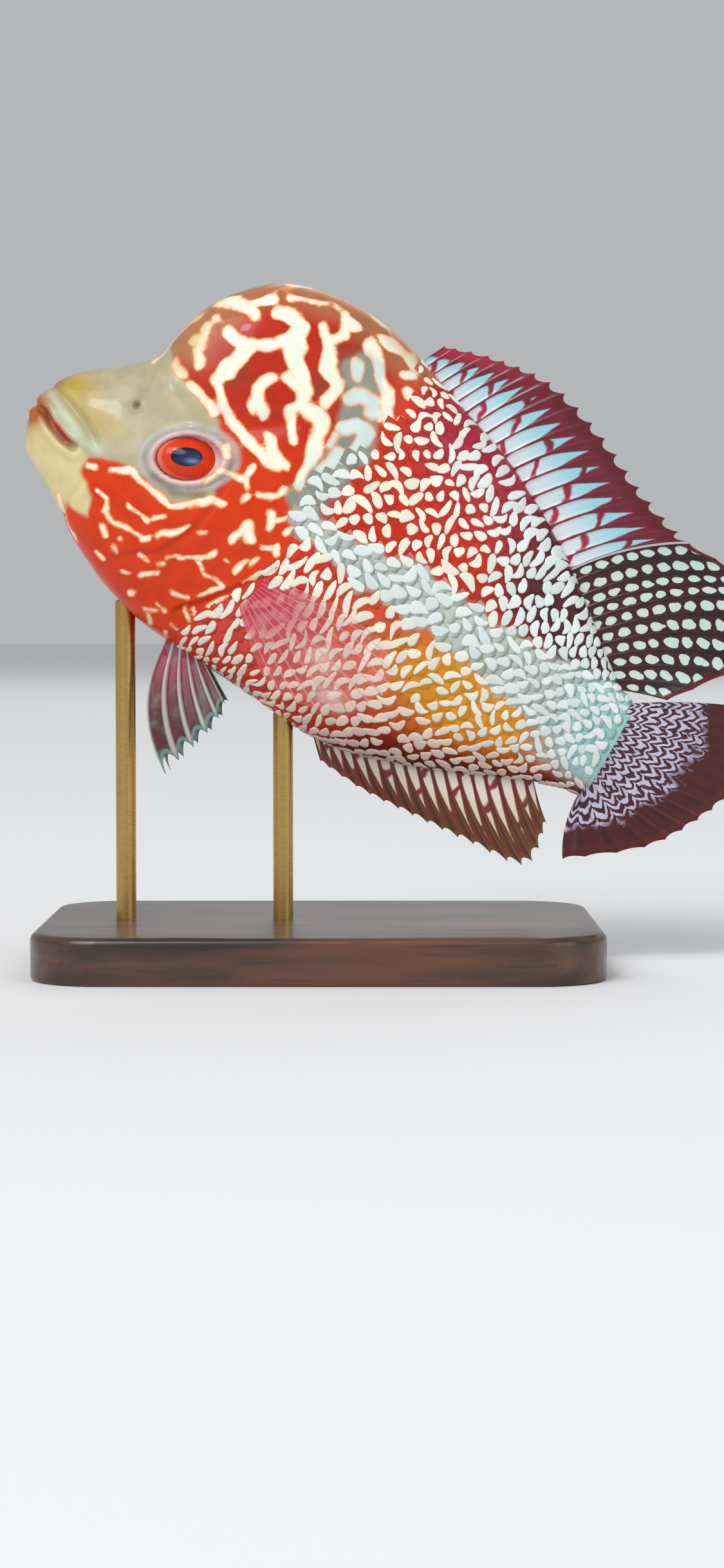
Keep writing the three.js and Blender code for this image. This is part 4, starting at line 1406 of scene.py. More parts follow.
def ink_colour(spot: Spot) -> Array:
    """Works out the colour of the strokes: cream, blue-grey on the nape and tan round the hump's edge.

    Args:
        spot: Places on the skin.

    Returns:
        Colours in linear light.
    """
    cream, grey, tan = (linear(tint.value) for tint in (Tint.INK, Tint.INK_NAPE, Tint.INK_EDGE))
    on_edge = np.clip(Ramp(RISE, 0.9, 0.97)(spot) + Mound((13.2, 19.5), (2.4, 6.0))(spot), 0, 1)
    return mix(mix(cream, grey, NAPE(spot)[..., None]), tan, on_edge[..., None])


def stroke_distance(spot: Spot, normals: Array, right: bool) -> Array:
    """Measures how far each place of the head lies from the nearest cream stroke.

    Strokes are polylines in x and z, stirred by noise, more on the right side. Where the hump faces up
    or forward the crests of a worm field take over, and finer crests lie close to the hump's outline.

    Args:
        spot: Places on the skin.
        normals: The skin's normals there.
        right: Whether the strokes are the right side's.

    Returns:
        Distances, negative inside a stroke.
    """
    stir, seed = (0.9, 41) if right else (0.4, 23)
    far, cell = 9.0, 1.9
    x = spot.x + value_noise(spot.x, spot.z, cell, seed) * stir
    z = spot.z + value_noise(spot.x, spot.z, cell, seed + 1) * stir
    best = np.full(x.shape, far)
    for half, *flat in STROKES:
        best = np.minimum(best, distance_to(list(zip(flat[::2], flat[1::2])), x, z) - half)
    worms = 0.42 - worm_field(spot.points, 4.5, 8) * 0.8
    on_hump = Cover(1, Ramp(Z, 12, 15), Ramp(X, 40, 36), Ramp(X, 9, 11))(spot)
    fine = 0.3 - worm_field(spot.points, 3.3, 9) * 0.7
    best = np.minimum(best, fine + 2.0 * (1 - near_crown(spot)))
    side = np.abs(normals[..., 1])
    best = np.minimum(best, 1.2) + 1.5 * smooth(0.32, 0.16, side) * Ramp(Z, 6, 4)(spot)
    return mix(best, worms, smooth(0.78, 0.52, side) * on_hump)


# Pieces of the fish

@dataclass
class Skin:
    """The skin in one piece, from lips to tail root, over head, hump, flank and belly."""

    form: BodyForm
    margin: float = 0.02
    nodes: tuple[str, ...] = (
        "head", "nuchal_hump", "upper_jaw", "lower_jaw", "gill_cover_left", "gill_cover_right", "torso",
        "tail_stalk")

    def make(self) -> None:
        """Builds the skin: the left half rings and their mirror image, closed at both ends."""
        form = self.form
        rings = len(form.points)
        whole, normals = (np.concatenate([half, half[:, -2:0:-1] * [1, -1, 1]], axis=1)
                          for half in (form.points, form.normals))
        around = whole.shape[1]
        rise = np.linspace(0, 1, form.columns)
        rise = np.tile(np.concatenate([rise, rise[-2:0:-1]]), rings)
        spot, normals = Spot(whole.reshape(-1, 3), rise), normals.reshape(-1, 3)
        left, right = (stroke_distance(spot, normals, right) for right in (False, True))
        stroke = np.where(spot.points[:, 1] > 0, right, left)
        ground = ground_colour(spot)
        tips = ground[[0, -1]]
        ends = np.stack([whole[0].mean(axis=0), whole[-1].mean(axis=0)])
        stored = {"stroke": np.concatenate([np.clip(stroke, -2, 2), [2.0, 2.0]])}
        colours = {"ground": ground, "shade": shade_colour(spot, ground), "ink": ink_colour(spot)}
        for key, values in colours.items():
            stored[key] = np.concatenate([values, tips])
        faces, unwrap = self.faces(rings, around)
        surface = Surface(POSE.place(np.concatenate([spot.points, ends])), faces, stored, unwrap)
        surface.build("fish_skin", WetSkin(), self.nodes, "head_skin")

    def faces(self, rings: int, around: int) -> tuple[list[list[int]], Array]:
        """Lists the faces of a closed tube with a fan at each end, and unwraps their corners.

        Args:
            rings: Number of rings.
            around: Points in a ring.

        Returns:
            The faces, and the place of each corner on the map.
        """
        cells = np.indices((rings - 1, around)).reshape(2, -1).T
        corners = (cells[:, None] + [(0, 0), (1, 0), (1, 1), (0, 1)]).reshape(-1, 2)
        scale = 1 - 2 * self.margin
        unwrap = [self.margin + scale * corners / [rings, around]]
        faces = ring_quads(rings, around).tolist()
        j = np.arange(around)
        ahead, last = (j + 1) % around, (rings - 1) * around
        v = self.margin + scale * (j[:, None] + [0.5, 0, 1]) / around
        for tip, (a, b), u, order in (
            (rings * around, (j, ahead), (0.01, 0.02, 0.02), [0, 1, 2]),
            (rings * around + 1, (last + ahead, last + j), (0.99, 0.97, 0.97), [0, 2, 1]),
        ):
            faces += np.stack([np.full(around, tip), a, b], axis=1).tolist()
            unwrap.append(np.stack([np.tile(u, (around, 1)), v[:, order]], axis=2).reshape(-1, 2))
        return faces, np.concatenate(unwrap)


@dataclass(frozen=True)
class PearlForm:
    """How pearls look in one region: ranges of half length and half width, and their turn and its spread."""

    where: Curve
    long: Pair
    wide: Pair
    turn: float
    spread: float


RIDGE = Cover(1, Ramp(RISE, 0.8, 0.9), Ramp(X, 46, 52), Ramp(X, 80, 74))
PEARL_FORMS = (
    PearlForm(Cover(1, Ramp(Z, 5, 2), Ramp(X, 62, 54)), (0.95, 1.8), (0.42, 0.62), 1.3, 0.25),
    PearlForm(Cover(1, Ramp(Z, -5, -9), Ramp(X, 50, 58)), (0.9, 1.4), (0.62, 0.8), 0.51, 0.2),
    PearlForm(Cover(1.5, Mound((67, -3.6), (9, 4.5))), (0.85, 1.3), (0.44, 0.6), 0.9, 0.8),
    PearlForm(Cover(1, Ramp(X, 60, 68), Ramp(Z, 5, 8)), (1.0, 1.35), (0.64, 0.78), 1.8, 0.18),
    PearlForm(RIDGE, (1.5, 2.3), (0.62, 0.8), 1.22, 0.08),
    PearlForm(on_bands, (0.8, 1.5), (0.5, 0.8), 0.25, 0.4),
)
COOL_PEARLS = (
    on_bands, Ramp(X, 62, 84), Cover(0.9, Ramp(RISE, 0.72, 0.9), Ramp(X, 44, 56)),
    Cover(1, Ramp(RISE, 0.52, 0.7), Ramp(X, 57, 67)))
PINK_PEARLS = Cover(0.7, Ramp(RISE, 0.3, 0.1), Ramp(X, 44, 56))


@dataclass
class Seats:
    """Where scales sit: lengths along the flank's middle and off it, and each scale's size."""

    along: Array
    off: Array
    size: Array

    def pick(self, keep: Array) -> "Seats":
        """Returns only the seats to keep."""
        return Seats(self.along[keep], self.off[keep], self.size[keep])

    def unwrap(self, u: Array, v: Array) -> Array:
        """Unwraps the scales: each is a small patch at its seat's place on the flank.

        Args:
            u: Places on one scale, from front to rear.
            v: Places on one scale, across it.

        Returns:
            The place of each point on the map.
        """
        patch = 0.003
        along, off = (0.02 + 0.96 * (a - a.min()) / np.ptp(a) for a in (self.along, self.off))
        return np.stack([along[:, None] + patch * u, off[:, None] + patch * v], axis=-1).reshape(-1, 2)


@dataclass
class ScaleCoat:
    """Overlapping scale plates on flank, back and belly, with a cream pearl on nearly every one."""

    form: BodyForm
    first_x: float = 25.0
    column_step: float = 1.36
    row_step: float = 2.62
    rows: tuple[int, int] = (-13, 15)
    tail_step: float = 0.76
    edge_squeeze: float = 0.012
    edge_shrink: float = 0.024
    grid: int = 8
    front: float = -1.25
    rear: float = 1.62
    overlap: float = 0.6
    buried: float = -0.1
    lift: float = 0.13
    root_share: float = 0.35
    corners: int = 14
    dome: Rows = ((0.5, 0.19, 0.0), (0.82, 0.182, 0.3), (1.0, 0.15, 0.7), (1.06, -0.02, 1.0))

    def closer(self, share: Array) -> Array:
        """Returns the scales' spacing at a share of the flank, which drops towards the tail."""
        return mix(1.0, self.tail_step, smooth(0.55, 1.0, share))

    def seats(self) -> Seats:
        """Lays out a staggered lattice of scales, closer towards the tail and towards back and belly.

        Returns:
            The seats of one side's scales.
        """
        form = self.form
        middle_x = form.points[:, form.columns // 2, 0]
        start, end = np.interp([self.first_x, TAIL_END - 0.6], middle_x, form.along)
        alongs, at = [], start
        while at < end:
            alongs.append(at)
            at += self.column_step * self.closer((at - start) / (end - start))
        along = np.array(alongs)[:, None]
        row = np.arange(*self.rows)[None, :] + 0.5 * (np.arange(len(along)) % 2)[:, None]
        step = self.row_step * self.closer((along - start) / (end - start))
        off = step * (row - self.edge_squeeze * row * np.abs(row))
        size = step * (1 - self.edge_shrink * np.abs(row)) / self.row_step
        return Seats(np.broadcast_to(along, off.shape).ravel(), off.ravel(), size.ravel())

    def make(self) -> None:
        """Builds the plates and pearls of both sides."""
        seats = self.seats()
        ring, rise = self.form.from_lengths(seats.along, seats.off)
        centre = self.form.sample(ring, rise)[0]
        behind = signed_distance(HEAD_AREA, centre[:, 0], centre[:, 2])
        seats = seats.pick((rise > 0.004) & (rise < 0.996) & (behind > -0.4))
        for (side, word), seed in zip(SIDES, (7, 19)):
            rng = np.random.default_rng(seed)
            root = self.lay(seats.along, seats.off, np.zeros(1), side)[1]
            self.plates(seats, root, side, rng).build(f"scales_{word}", ScalePaint(), (), "flank_skin")
            pearls = self.pearls(seats, root, side, rng)
            pearls.build(f"pearls_{word}", ScalePaint("pearl_paint", 0.7, 0.26), (), "flank_skin")

    def lay(self, along: Array, off: Array, high: Array, side: float) -> tuple[Array, Spot]:
        """Lays points over the skin.

        Args:
            along: Lengths along the flank's middle.
            off: Lengths up or down from it.
            high: Heights over the skin.
            side: -1 for the left side and 1 for the right.

        Returns:
            Points in metres on the stand, and their spots.
        """
        ring, rise = self.form.from_lengths(along, off)
        point, normal = self.form.sample(ring, rise)
        placed = (point + normal * high[..., None]) * [1, -side, 1]
        return POSE.place(placed).reshape(-1, 3), Spot(placed, np.clip(rise, 0, 1))

    def plates(self, seats: Seats, root: Spot, side: float, rng: np.random.Generator) -> Surface:
        """Builds one side's plates.

        A plate is a grid over p, from its tucked front to its free rear, and q, across it. Its half width
        narrows round the rear as the root of 1 less a power of p, it rises towards the rear, and its
        outermost points drop under the skin as a skirt.

        Args:
            seats: Where the scales sit.
            root: The same places as spots.
            side: -1 for the left side and 1 for the right.
            rng: Source of the random draws.

        Returns:
            The surface.
        """
        n, count = self.grid, len(seats.along)
        p, q = np.meshgrid(np.linspace(0, 1, n), np.linspace(-1, 1, n), indexing="ij")
        wide = np.sqrt(np.clip(1 - 0.9 * np.clip((p - 0.35) / 0.65, 0, 1) ** 2.4, 0, 1))
        a = mix(self.front, self.rear, p) - 0.3 * q ** 2 * p
        b = self.overlap * self.row_step * wide * q
        skirt = np.minimum(smooth(1.0, 0.86, np.abs(q)), smooth(1.0, 0.88, p))
        high = mix(self.buried, 0.02 + self.lift * p, skirt)
        tilt = rng.uniform(0.85, 1.15, (count, 1))
        size = seats.size[:, None]
        along, off = seats.along[:, None] + a.ravel() * size, seats.off[:, None] + b.ravel() * size
        points, spot = self.lay(along, off, high.ravel() * size * tilt, side)
        ground = mix(ground_colour(spot), ground_colour(root)[:, None, :], self.root_share)
        ground = ground * rng.uniform(0.86, 1.1, (count, 1, 1))
        first = (np.arange(count) * n * n)[:, None, None]
        # Painted shade: each plate darkens towards its rim, between the scales, and more strongly on the pale
        # bands.
        rim = np.maximum(p, np.abs(q) * p ** 0.5).ravel() * (0.8 + 0.3 * on_bands(spot))
        return Surface(points, (grid_quads(n, n, flip=side < 0) + first).reshape(-1, 4),
                       {"rim": rim, "ground": ground, "shade": shade_colour(spot, ground)},
                       seats.unwrap((p - 0.5).ravel(), (0.5 * q).ravel()))

    def pearls(self, seats: Seats, root: Spot, side: float, rng: np.random.Generator) -> Surface:
        """Builds one side's pearls: low domes over lumpy, bent ovals.

        Args:
            seats: Where the scales sit.
            root: The same places as spots.
            side: -1 for the left side and 1 for the right.
            rng: Source of the random draws.

        Returns:
            The surface.
        """
        count = len(seats.along)
        long, wide, turn, keep = self.pearl_shapes(root, rng)
        ring, height, rim = (np.array(column)[:, None] for column in zip(*self.dome))
        angle = np.linspace(0, 2 * math.pi, self.corners, endpoint=False)
        u, v = (ring * np.cos(angle)).ravel(), (ring * np.sin(angle)).ravel()
        lumpy = 1 + 0.16 * np.sin(2 * angle + rng.uniform(0, 6.3, (count, 1)))
        lumpy = lumpy + 0.1 * np.sin(3 * angle + rng.uniform(0, 6.3, (count, 1)))
        lumpy = np.tile(lumpy, (1, len(ring)))
        a0, b0 = u * lumpy * long, v * lumpy * wide
        b0 = b0 + rng.normal(0, 0.22, (count, 1)) / long * a0 ** 2
        a = a0 * np.cos(turn) - b0 * np.sin(turn) + rng.normal(0.1, 0.12, (count, 1))
        b = a0 * np.sin(turn) + b0 * np.cos(turn) + rng.normal(0, 0.12, (count, 1))
        seats, a, b = seats.pick(keep), a[keep], b[keep]
        size, count = seats.size[:, None], len(seats.along)
        high = np.tile(np.repeat(height.ravel(), self.corners), (count, 1))
        points, spot = self.lay(seats.along[:, None] + a * size, seats.off[:, None] + b * size, high, side)
        colour = np.repeat(self.pearl_colour(root.pick(keep), rng)[:, None, :], len(u), axis=1)
        turned = slice(None, None, -1 if side > 0 else 1)
        cell = ring_quads(len(ring), self.corners)[:, turned]
        cap = np.arange(self.corners)[None, turned]
        first = (np.arange(count) * len(u))[:, None]
        faces = (cell + first[..., None]).reshape(-1, 4).tolist() + (cap + first).tolist()
        return Surface(points, faces,
                       {"rim": np.tile(np.repeat(rim.ravel(), self.corners), count), "ground": colour,
                        "shade": mix(colour, ground_colour(spot), 0.5)},
                       seats.unwrap(0.5 * u, 0.5 * v))

    @staticmethod
    def pearl_shapes(root: Spot, rng: np.random.Generator) -> tuple[Array, Array, Array, Array]:
        """Draws the pearls' shapes, by region of the flank.

        Args:
            root: The scales' seats.
            rng: Source of the random draws.

        Returns:
            Half lengths, half widths and turns as columns, and which scales have a pearl.
        """
        count = len(root.rise)
        long = rng.uniform(0.75, 1.08, count) * np.where(rng.random(count) < 0.3, 1.5, 1.0)
        wide = rng.uniform(0.52, 0.76, count)
        turn = rng.uniform(0, math.pi, count)
        for form in PEARL_FORMS:
            share = form.where(root)
            long = mix(long, rng.uniform(*form.long, count), share)
            wide = mix(wide, rng.uniform(*form.wide, count), share)
            turn = mix(turn, form.turn + rng.normal(0, form.spread, count), share)
        keep = rng.random(count) > 0.05 + 0.35 * Ramp(RISE, 0.95, 0.99)(root) + 0.35 * RIDGE(root)
        return long[:, None], wide[:, None], turn[:, None], keep

    @staticmethod
    def pearl_colour(root: Spot, rng: np.random.Generator) -> Array:
        """Works out each pearl's colour: cream on the flank, cooler on the bands and the tail stalk.

        Args:
            root: The pearls' seats.
            rng: Source of the random draws.

        Returns:
            Colours in linear light.
        """
        cream, cool, pink = (linear(tint.value) for tint in (Tint.PEARL, Tint.PEARL_COOL, Tint.PEARL_PINK))
        colour = mix(cream, cool, np.clip(sum(curve(root) for curve in COOL_PEARLS), 0, 1)[:, None])
        colour = mix(colour, pink, PINK_PEARLS(root)[:, None])
        return colour * rng.uniform(0.84, 1.02, (len(colour), 1))


@dataclass(frozen=True)
class Sway:
    """How a fin bends sideways: a shift plus a sine over u, growing towards the tip as a power of v."""

    amount: float = 0.0
    waves: float = 0.0
    phase: float = 0.0
    shift: float = 0.0
    power: int = 1

    def at(self, u: Array, v: Array) -> Array:
        """Returns millimetres towards the right side."""
        return (self.shift + self.amount * np.sin(self.waves * u + self.phase)) * v ** self.power


@dataclass
class Fin:
    """A fin: a thin closed sheet of rays and membrane between a root line and a tip line.

    Keys hold root x, y, z, tip x, y, z and bow. Side is -1 or 1 for a fin that stands off the midline.
    """

    name: str
    node: str
    paint: FinPaint
    keys: Array
    rays: int
    notch: float
    sway: Sway = Sway()
    side: float = 0.0
    steps: int = 64
    per_gap: int = 12
    membrane: float = 0.3
    ridge: float = 0.3
    ridge_wide: float = 0.17
    ridge_end: float = 0.45
    lobe: float = 0.0
    lobe_reach: float = 0.35
    branch: float = 0.0
    slot: str = "fin_dark"

    def sheet(self, u: Array, v: Array) -> Array:
        """Works out the fin's middle sheet: straight from root to tip, bowed by a parabola, and swayed.

        Args:
            u: Shares of the way from the first ray to the last.
            v: Shares of the way from root to tip.

        Returns:
            Points in the fish's frame.
        """
        row = spline(self.keys, u[:, 0] * (len(self.keys) - 1))[:, None, :]
        rx, ry, rz, tx, ty, tz, bow = np.moveaxis(row, -1, 0)
        lift = 4 * v * (1 - v) * bow
        return np.stack([mix(rx, tx, v) - (tz - rz) * lift, self.side * mix(ry, ty, v) + self.sway.at(u, v),
                         mix(rz, tz, v) + (tx - rx) * lift], axis=-1)

    def leftward(self, middle: Array) -> Array:
        """Finds the way the fin's left face looks.

        Args:
            middle: Points of the middle sheet.

        Returns:
            A direction of length 1.
        """
        if not self.side:
            return np.array([0.0, -1.0, 0.0])
        way = np.cross(middle[0, -1] - middle[0, 0], middle[-1, -1] - middle[-1, 0])
        return way / np.linalg.norm(way) * -np.sign(way[1])

    def make(self) -> None:
        """Builds the fin: ridges where rays run, scallops between their tips and thin edges."""
        count = (self.rays - 1) * self.per_gap + 1
        u, share = np.meshgrid(np.linspace(0, 1, count), np.linspace(0, 1, self.steps + 1), indexing="ij")
        ray = u * (self.rays - 1)
        off = np.abs(ray - np.round(ray))
        v = share * (1 - self.notch * np.sin(math.pi * off) ** 0.8)
        middle = self.sheet(u, v)
        split = self.branch * smooth(0.4, 1.0, share)
        near = np.minimum(np.abs(off - split), np.abs(off + split))
        ridge = np.sqrt(np.clip(1 - (near / self.ridge_wide) ** 2, 0, 1)) * self.ridge
        half = (self.membrane + ridge * mix(1.0, self.ridge_end, share)) / 2
        half = half * mix(1.0, 0.5, smooth(0.9, 1.0, share))
        half = np.maximum(half, self.lobe / 2 * (1 - share / self.lobe_reach))[..., None]
        front, back = middle + half * self.leftward(middle), middle - half * self.leftward(middle)
        length = np.linalg.norm(middle[:, -1] - middle[:, 0], axis=1)[:, None]
        stored = {"ray": ray, "along": v * length, "edge": (1 - share) * length, "share": share}
        points = np.concatenate([front.reshape(-1, 3), back.reshape(-1, 3)])
        surface = Surface(POSE.place(points), closed_sheet(front, back),
                          {key: np.tile(values.ravel(), 2) for key, values in stored.items()})
        surface.build(self.name, self.paint, (self.node,), self.slot)


DORSAL_PAINT = FinPaint(
    "dorsal_paint", (186, 36, 70), (112, 22, 44), (92, 14, 28), (168, 34, 62), (216, 224, 228),
    (142, 204, 214), (92, 20, 42), Marks.STREAKS, 2.4)
SOFT_PAINT = FinPaint(
    "soft_dorsal_paint", (62, 16, 24), (44, 14, 20), (96, 18, 26), (96, 18, 26), (204, 218, 210),
    (190, 214, 206), (36, 10, 16), Marks.SPOTS, 1.2, 2.05, mark_end=1.0)
TAIL_PAINT = FinPaint(
    "tail_paint", (66, 24, 46), (72, 16, 14), (84, 18, 10), (84, 18, 10), (206, 200, 222),
    (184, 176, 206), (48, 12, 22), Marks.CHEVRONS, 1.6, 1.35, mark_end=0.66)
ANAL_PAINT = FinPaint(
    "anal_paint", (150, 34, 34), (104, 48, 20), (108, 78, 44), (150, 60, 62), (240, 228, 214),
    (216, 204, 174), (60, 20, 16), Marks.STREAKS, 0.9, mark_wide=0.38, mark_start=0.2)
PELVIC_PAINT = FinPaint(
    "pelvic_paint", (150, 34, 62), (84, 30, 36), (110, 140, 134), (110, 140, 134), (214, 206, 206),
    (214, 206, 206), (206, 212, 206), Marks.NONE, 0.8)
PECTORAL_PAINT = FinPaint(
    "pectoral_paint", (214, 50, 84), (226, 140, 150), (230, 196, 190), (230, 196, 190), (240, 220, 220),
    (240, 220, 220), (228, 150, 150), Marks.NONE, 0.3, cover=0.08)


@dataclass
class MidlineFins:
    """Dorsal, anal and tail fins. Keys hold root x, tip x, tip z and bow, or root z first for the tail."""

    form: BodyForm
    sink: float = 1.5
    spines: Rows = (
        (41, 42.6, 35, 0), (45.5, 49.4, 37, 0.02), (51.5, 57.2, 37.6, 0.03), (58, 66, 35, 0.04),
        (65, 74.4, 31.2, 0.05), (71.2, 82.4, 28.6, 0.06))
    soft: Rows = (
        (71.4, 82.8, 28.5, 0.06), (74.4, 92, 28.6, 0.08), (77, 102.4, 29.2, 0.09),
        (79.6, 99, 22.6, 0.07), (82.2, 95, 15.8, 0.05), (84.8, 90.2, 9.4, 0.02))
    anal: Rows = (
        (52.6, 55, -19.7, 0), (57.6, 62, -20.3, -0.03), (63.6, 69.4, -19.9, -0.04),
        (69.6, 77.2, -19.3, -0.05), (75.4, 85, -18.2, -0.06), (80.6, 84.6, -12.2, -0.03))
    tail: Rows = (
        (6.7, 101, 14.2, 0.03), (4.2, 104.2, 9.4, 0.02), (1.6, 104, 4, 0), (-1.4, 101.6, -2.2, -0.02),
        (-4.2, 97.2, -8.6, -0.04), (-6.7, 88.6, -15.2, -0.08))

    def keys(self, rows: Rows, back: bool) -> Array:
        """Works out a fin's keys, with its root sunk into the body.

        Args:
            rows: Root x, tip x, tip z and bow.
            back: Whether the fin stands on the back.

        Returns:
            Rows of root, tip and bow.
        """
        x, tip_x, tip_z, bow = np.array(rows).T
        root, tip = np.stack([x, 0 * x, self.form.edge_z(x, back)], 1), np.stack([tip_x, 0 * x, tip_z], 1)
        way = tip - root
        root = root - way / np.linalg.norm(way, axis=1, keepdims=True) * self.sink
        return np.concatenate([root, tip, bow[:, None]], axis=1)

    def make(self) -> None:
        """Builds the four fins."""
        Fin("fin_dorsal_spiny", "dorsal_fin_spiny", DORSAL_PAINT, self.keys(self.spines, True), 19, 0.07,
            Sway(0.5, 9), per_gap=11, ridge=0.45).make()
        Fin("fin_dorsal_soft", "dorsal_fin_soft", SOFT_PAINT, self.keys(self.soft, True), 11, 0.025,
            Sway(1.6, 5, shift=0.5 * math.sin(9), power=2), steps=96, per_gap=16, branch=0.2).make()
        Fin("fin_anal", "anal_fin", ANAL_PAINT, self.keys(self.anal, False), 19, 0.08,
            Sway(0.9, 7), per_gap=11).make()
        z, tip_x, tip_z, bow = np.array(self.tail).T
        keys = np.stack([0 * z + TAIL_END - 0.6, 0 * z, z, tip_x, 0 * z, tip_z, bow], axis=1)
        Fin("fin_tail", "caudal_fin", TAIL_PAINT, keys, 16, 0.03,
            Sway(1.3, 6, -1, power=2), steps=80, lobe=3.4, branch=0.2).make()


@dataclass
class PairedFins:
    """Pectoral and pelvic fins of both sides. Keys hold root x, y, z, tip x, y, z and bow."""

    pectoral: Rows = (
        (37.4, 9.2, -2.6, 54.6, 12.4, -2.2, 0.06), (37.4, 9.2, -3.8, 57.8, 13, -6, 0.04),
        (37.1, 9.1, -5, 56.2, 13.2, -10.4, 0.02), (36.8, 9, -6.2, 50.6, 12.8, -13.8, 0),
        (36.4, 8.8, -7.4, 44.6, 12, -14.2, -0.03))
    pelvic: Rows = (
        (30.2, 1.7, -14.6, 38.4, 5.2, -30.6, -0.15), (31.2, 1.9, -14.6, 39.2, 5.6, -27.6, -0.1),
        (32.2, 2.1, -14.7, 40.2, 5.8, -24.6, -0.06), (33.2, 2.2, -14.8, 40.8, 5.6, -21.6, -0.03),
        (34.2, 2.2, -14.9, 40.6, 5, -19, 0))

    def make(self) -> None:
        """Builds the four fins."""
        for side, word in SIDES:
            shared: dict[str, Any] = {"side": side, "steps": 60, "ridge_end": 0.4, "lobe_reach": 0.2}
            Fin(f"fin_pectoral_{word}", f"pectoral_fin_{word}", PECTORAL_PAINT, np.array(self.pectoral), 12,
                0.02, membrane=0.14, lobe=1.3, slot="fin_clear", **shared).make()
            Fin(f"fin_pelvic_{word}", f"pelvic_fin_{word}", PELVIC_PAINT, np.array(self.pelvic), 6, 0.1,
                ridge=0.55, lobe=1.8, **shared).make()


@dataclass
class Eyes:
    """Both eyes: flattened balls that look out, a little forward and up, with the gaze's disc and the pupil's
    painted highlight stored.
    """

    rings: int = 60
    corners: int = 96
    pole: float = 0.02
    bulge: float = 0.16
    pupil_long: float = 0.47
    pupil_tall: float = 0.42
    pupil_ahead: float = 0.2

    def make(self) -> None:
        """Builds the eyes."""
        for side, word in SIDES:
            self.eye(side).build(f"eyeball_{word}", EyePaint(), (f"eye_{word}",), "eye")

    def eye(self, side: float) -> Surface:
        """Builds one eye: a sphere over polar angle and turn, scaled, rolled and turned like its solid.

        Args:
            side: -1 for the left side and 1 for the right.

        Returns:
            The surface.
        """
        polar, turn = np.meshgrid(
            np.linspace(self.pole, math.pi - self.pole, self.rings),
            np.linspace(0, 2 * math.pi, self.corners, endpoint=False), indexing="ij")
        disc, ahead = np.sin(polar), np.cos(polar)
        cx, cz = disc * np.cos(turn), disc * np.sin(turn)
        cornea = 1 + self.bulge * smooth(0.62, 0.0, disc) * (ahead > 0)
        points = np.stack([cx * EYE.long, side * ahead * EYE.deep * cornea, cz * EYE.tall], axis=-1)
        turned = (Matrix.Rotation(side * EYE.up, 3, "X") @ Matrix.Rotation(-side * EYE.forward, 3, "Z")
                  @ Matrix.Rotation(-EYE.roll, 3, "Y"))
        points = points @ np.array(turned).T + [EYE.x, side * EYE.y, EYE.z]
        pupil = np.hypot((cx + self.pupil_ahead) / self.pupil_long, cz / self.pupil_tall)
        # Painted highlight in the pupil: a small bright spot below its middle and a faint broad sheen.
        painted_highlight = 0.9 * mound(cx, cz, (-0.02, -0.2), (0.2, 0.1)) + 0.12 * mound(cx, cz, (-0.1, 0.0), (0.4, 0.3))
        stored = {"disc": disc, "turn": turn, "pupil": np.where(ahead > 0, pupil, 3.0), "painted_highlight": painted_highlight}
        faces = capped_tube(self.rings, self.corners, side < 0)
        return Surface(POSE.place(points).reshape(-1, 3), faces, stored)


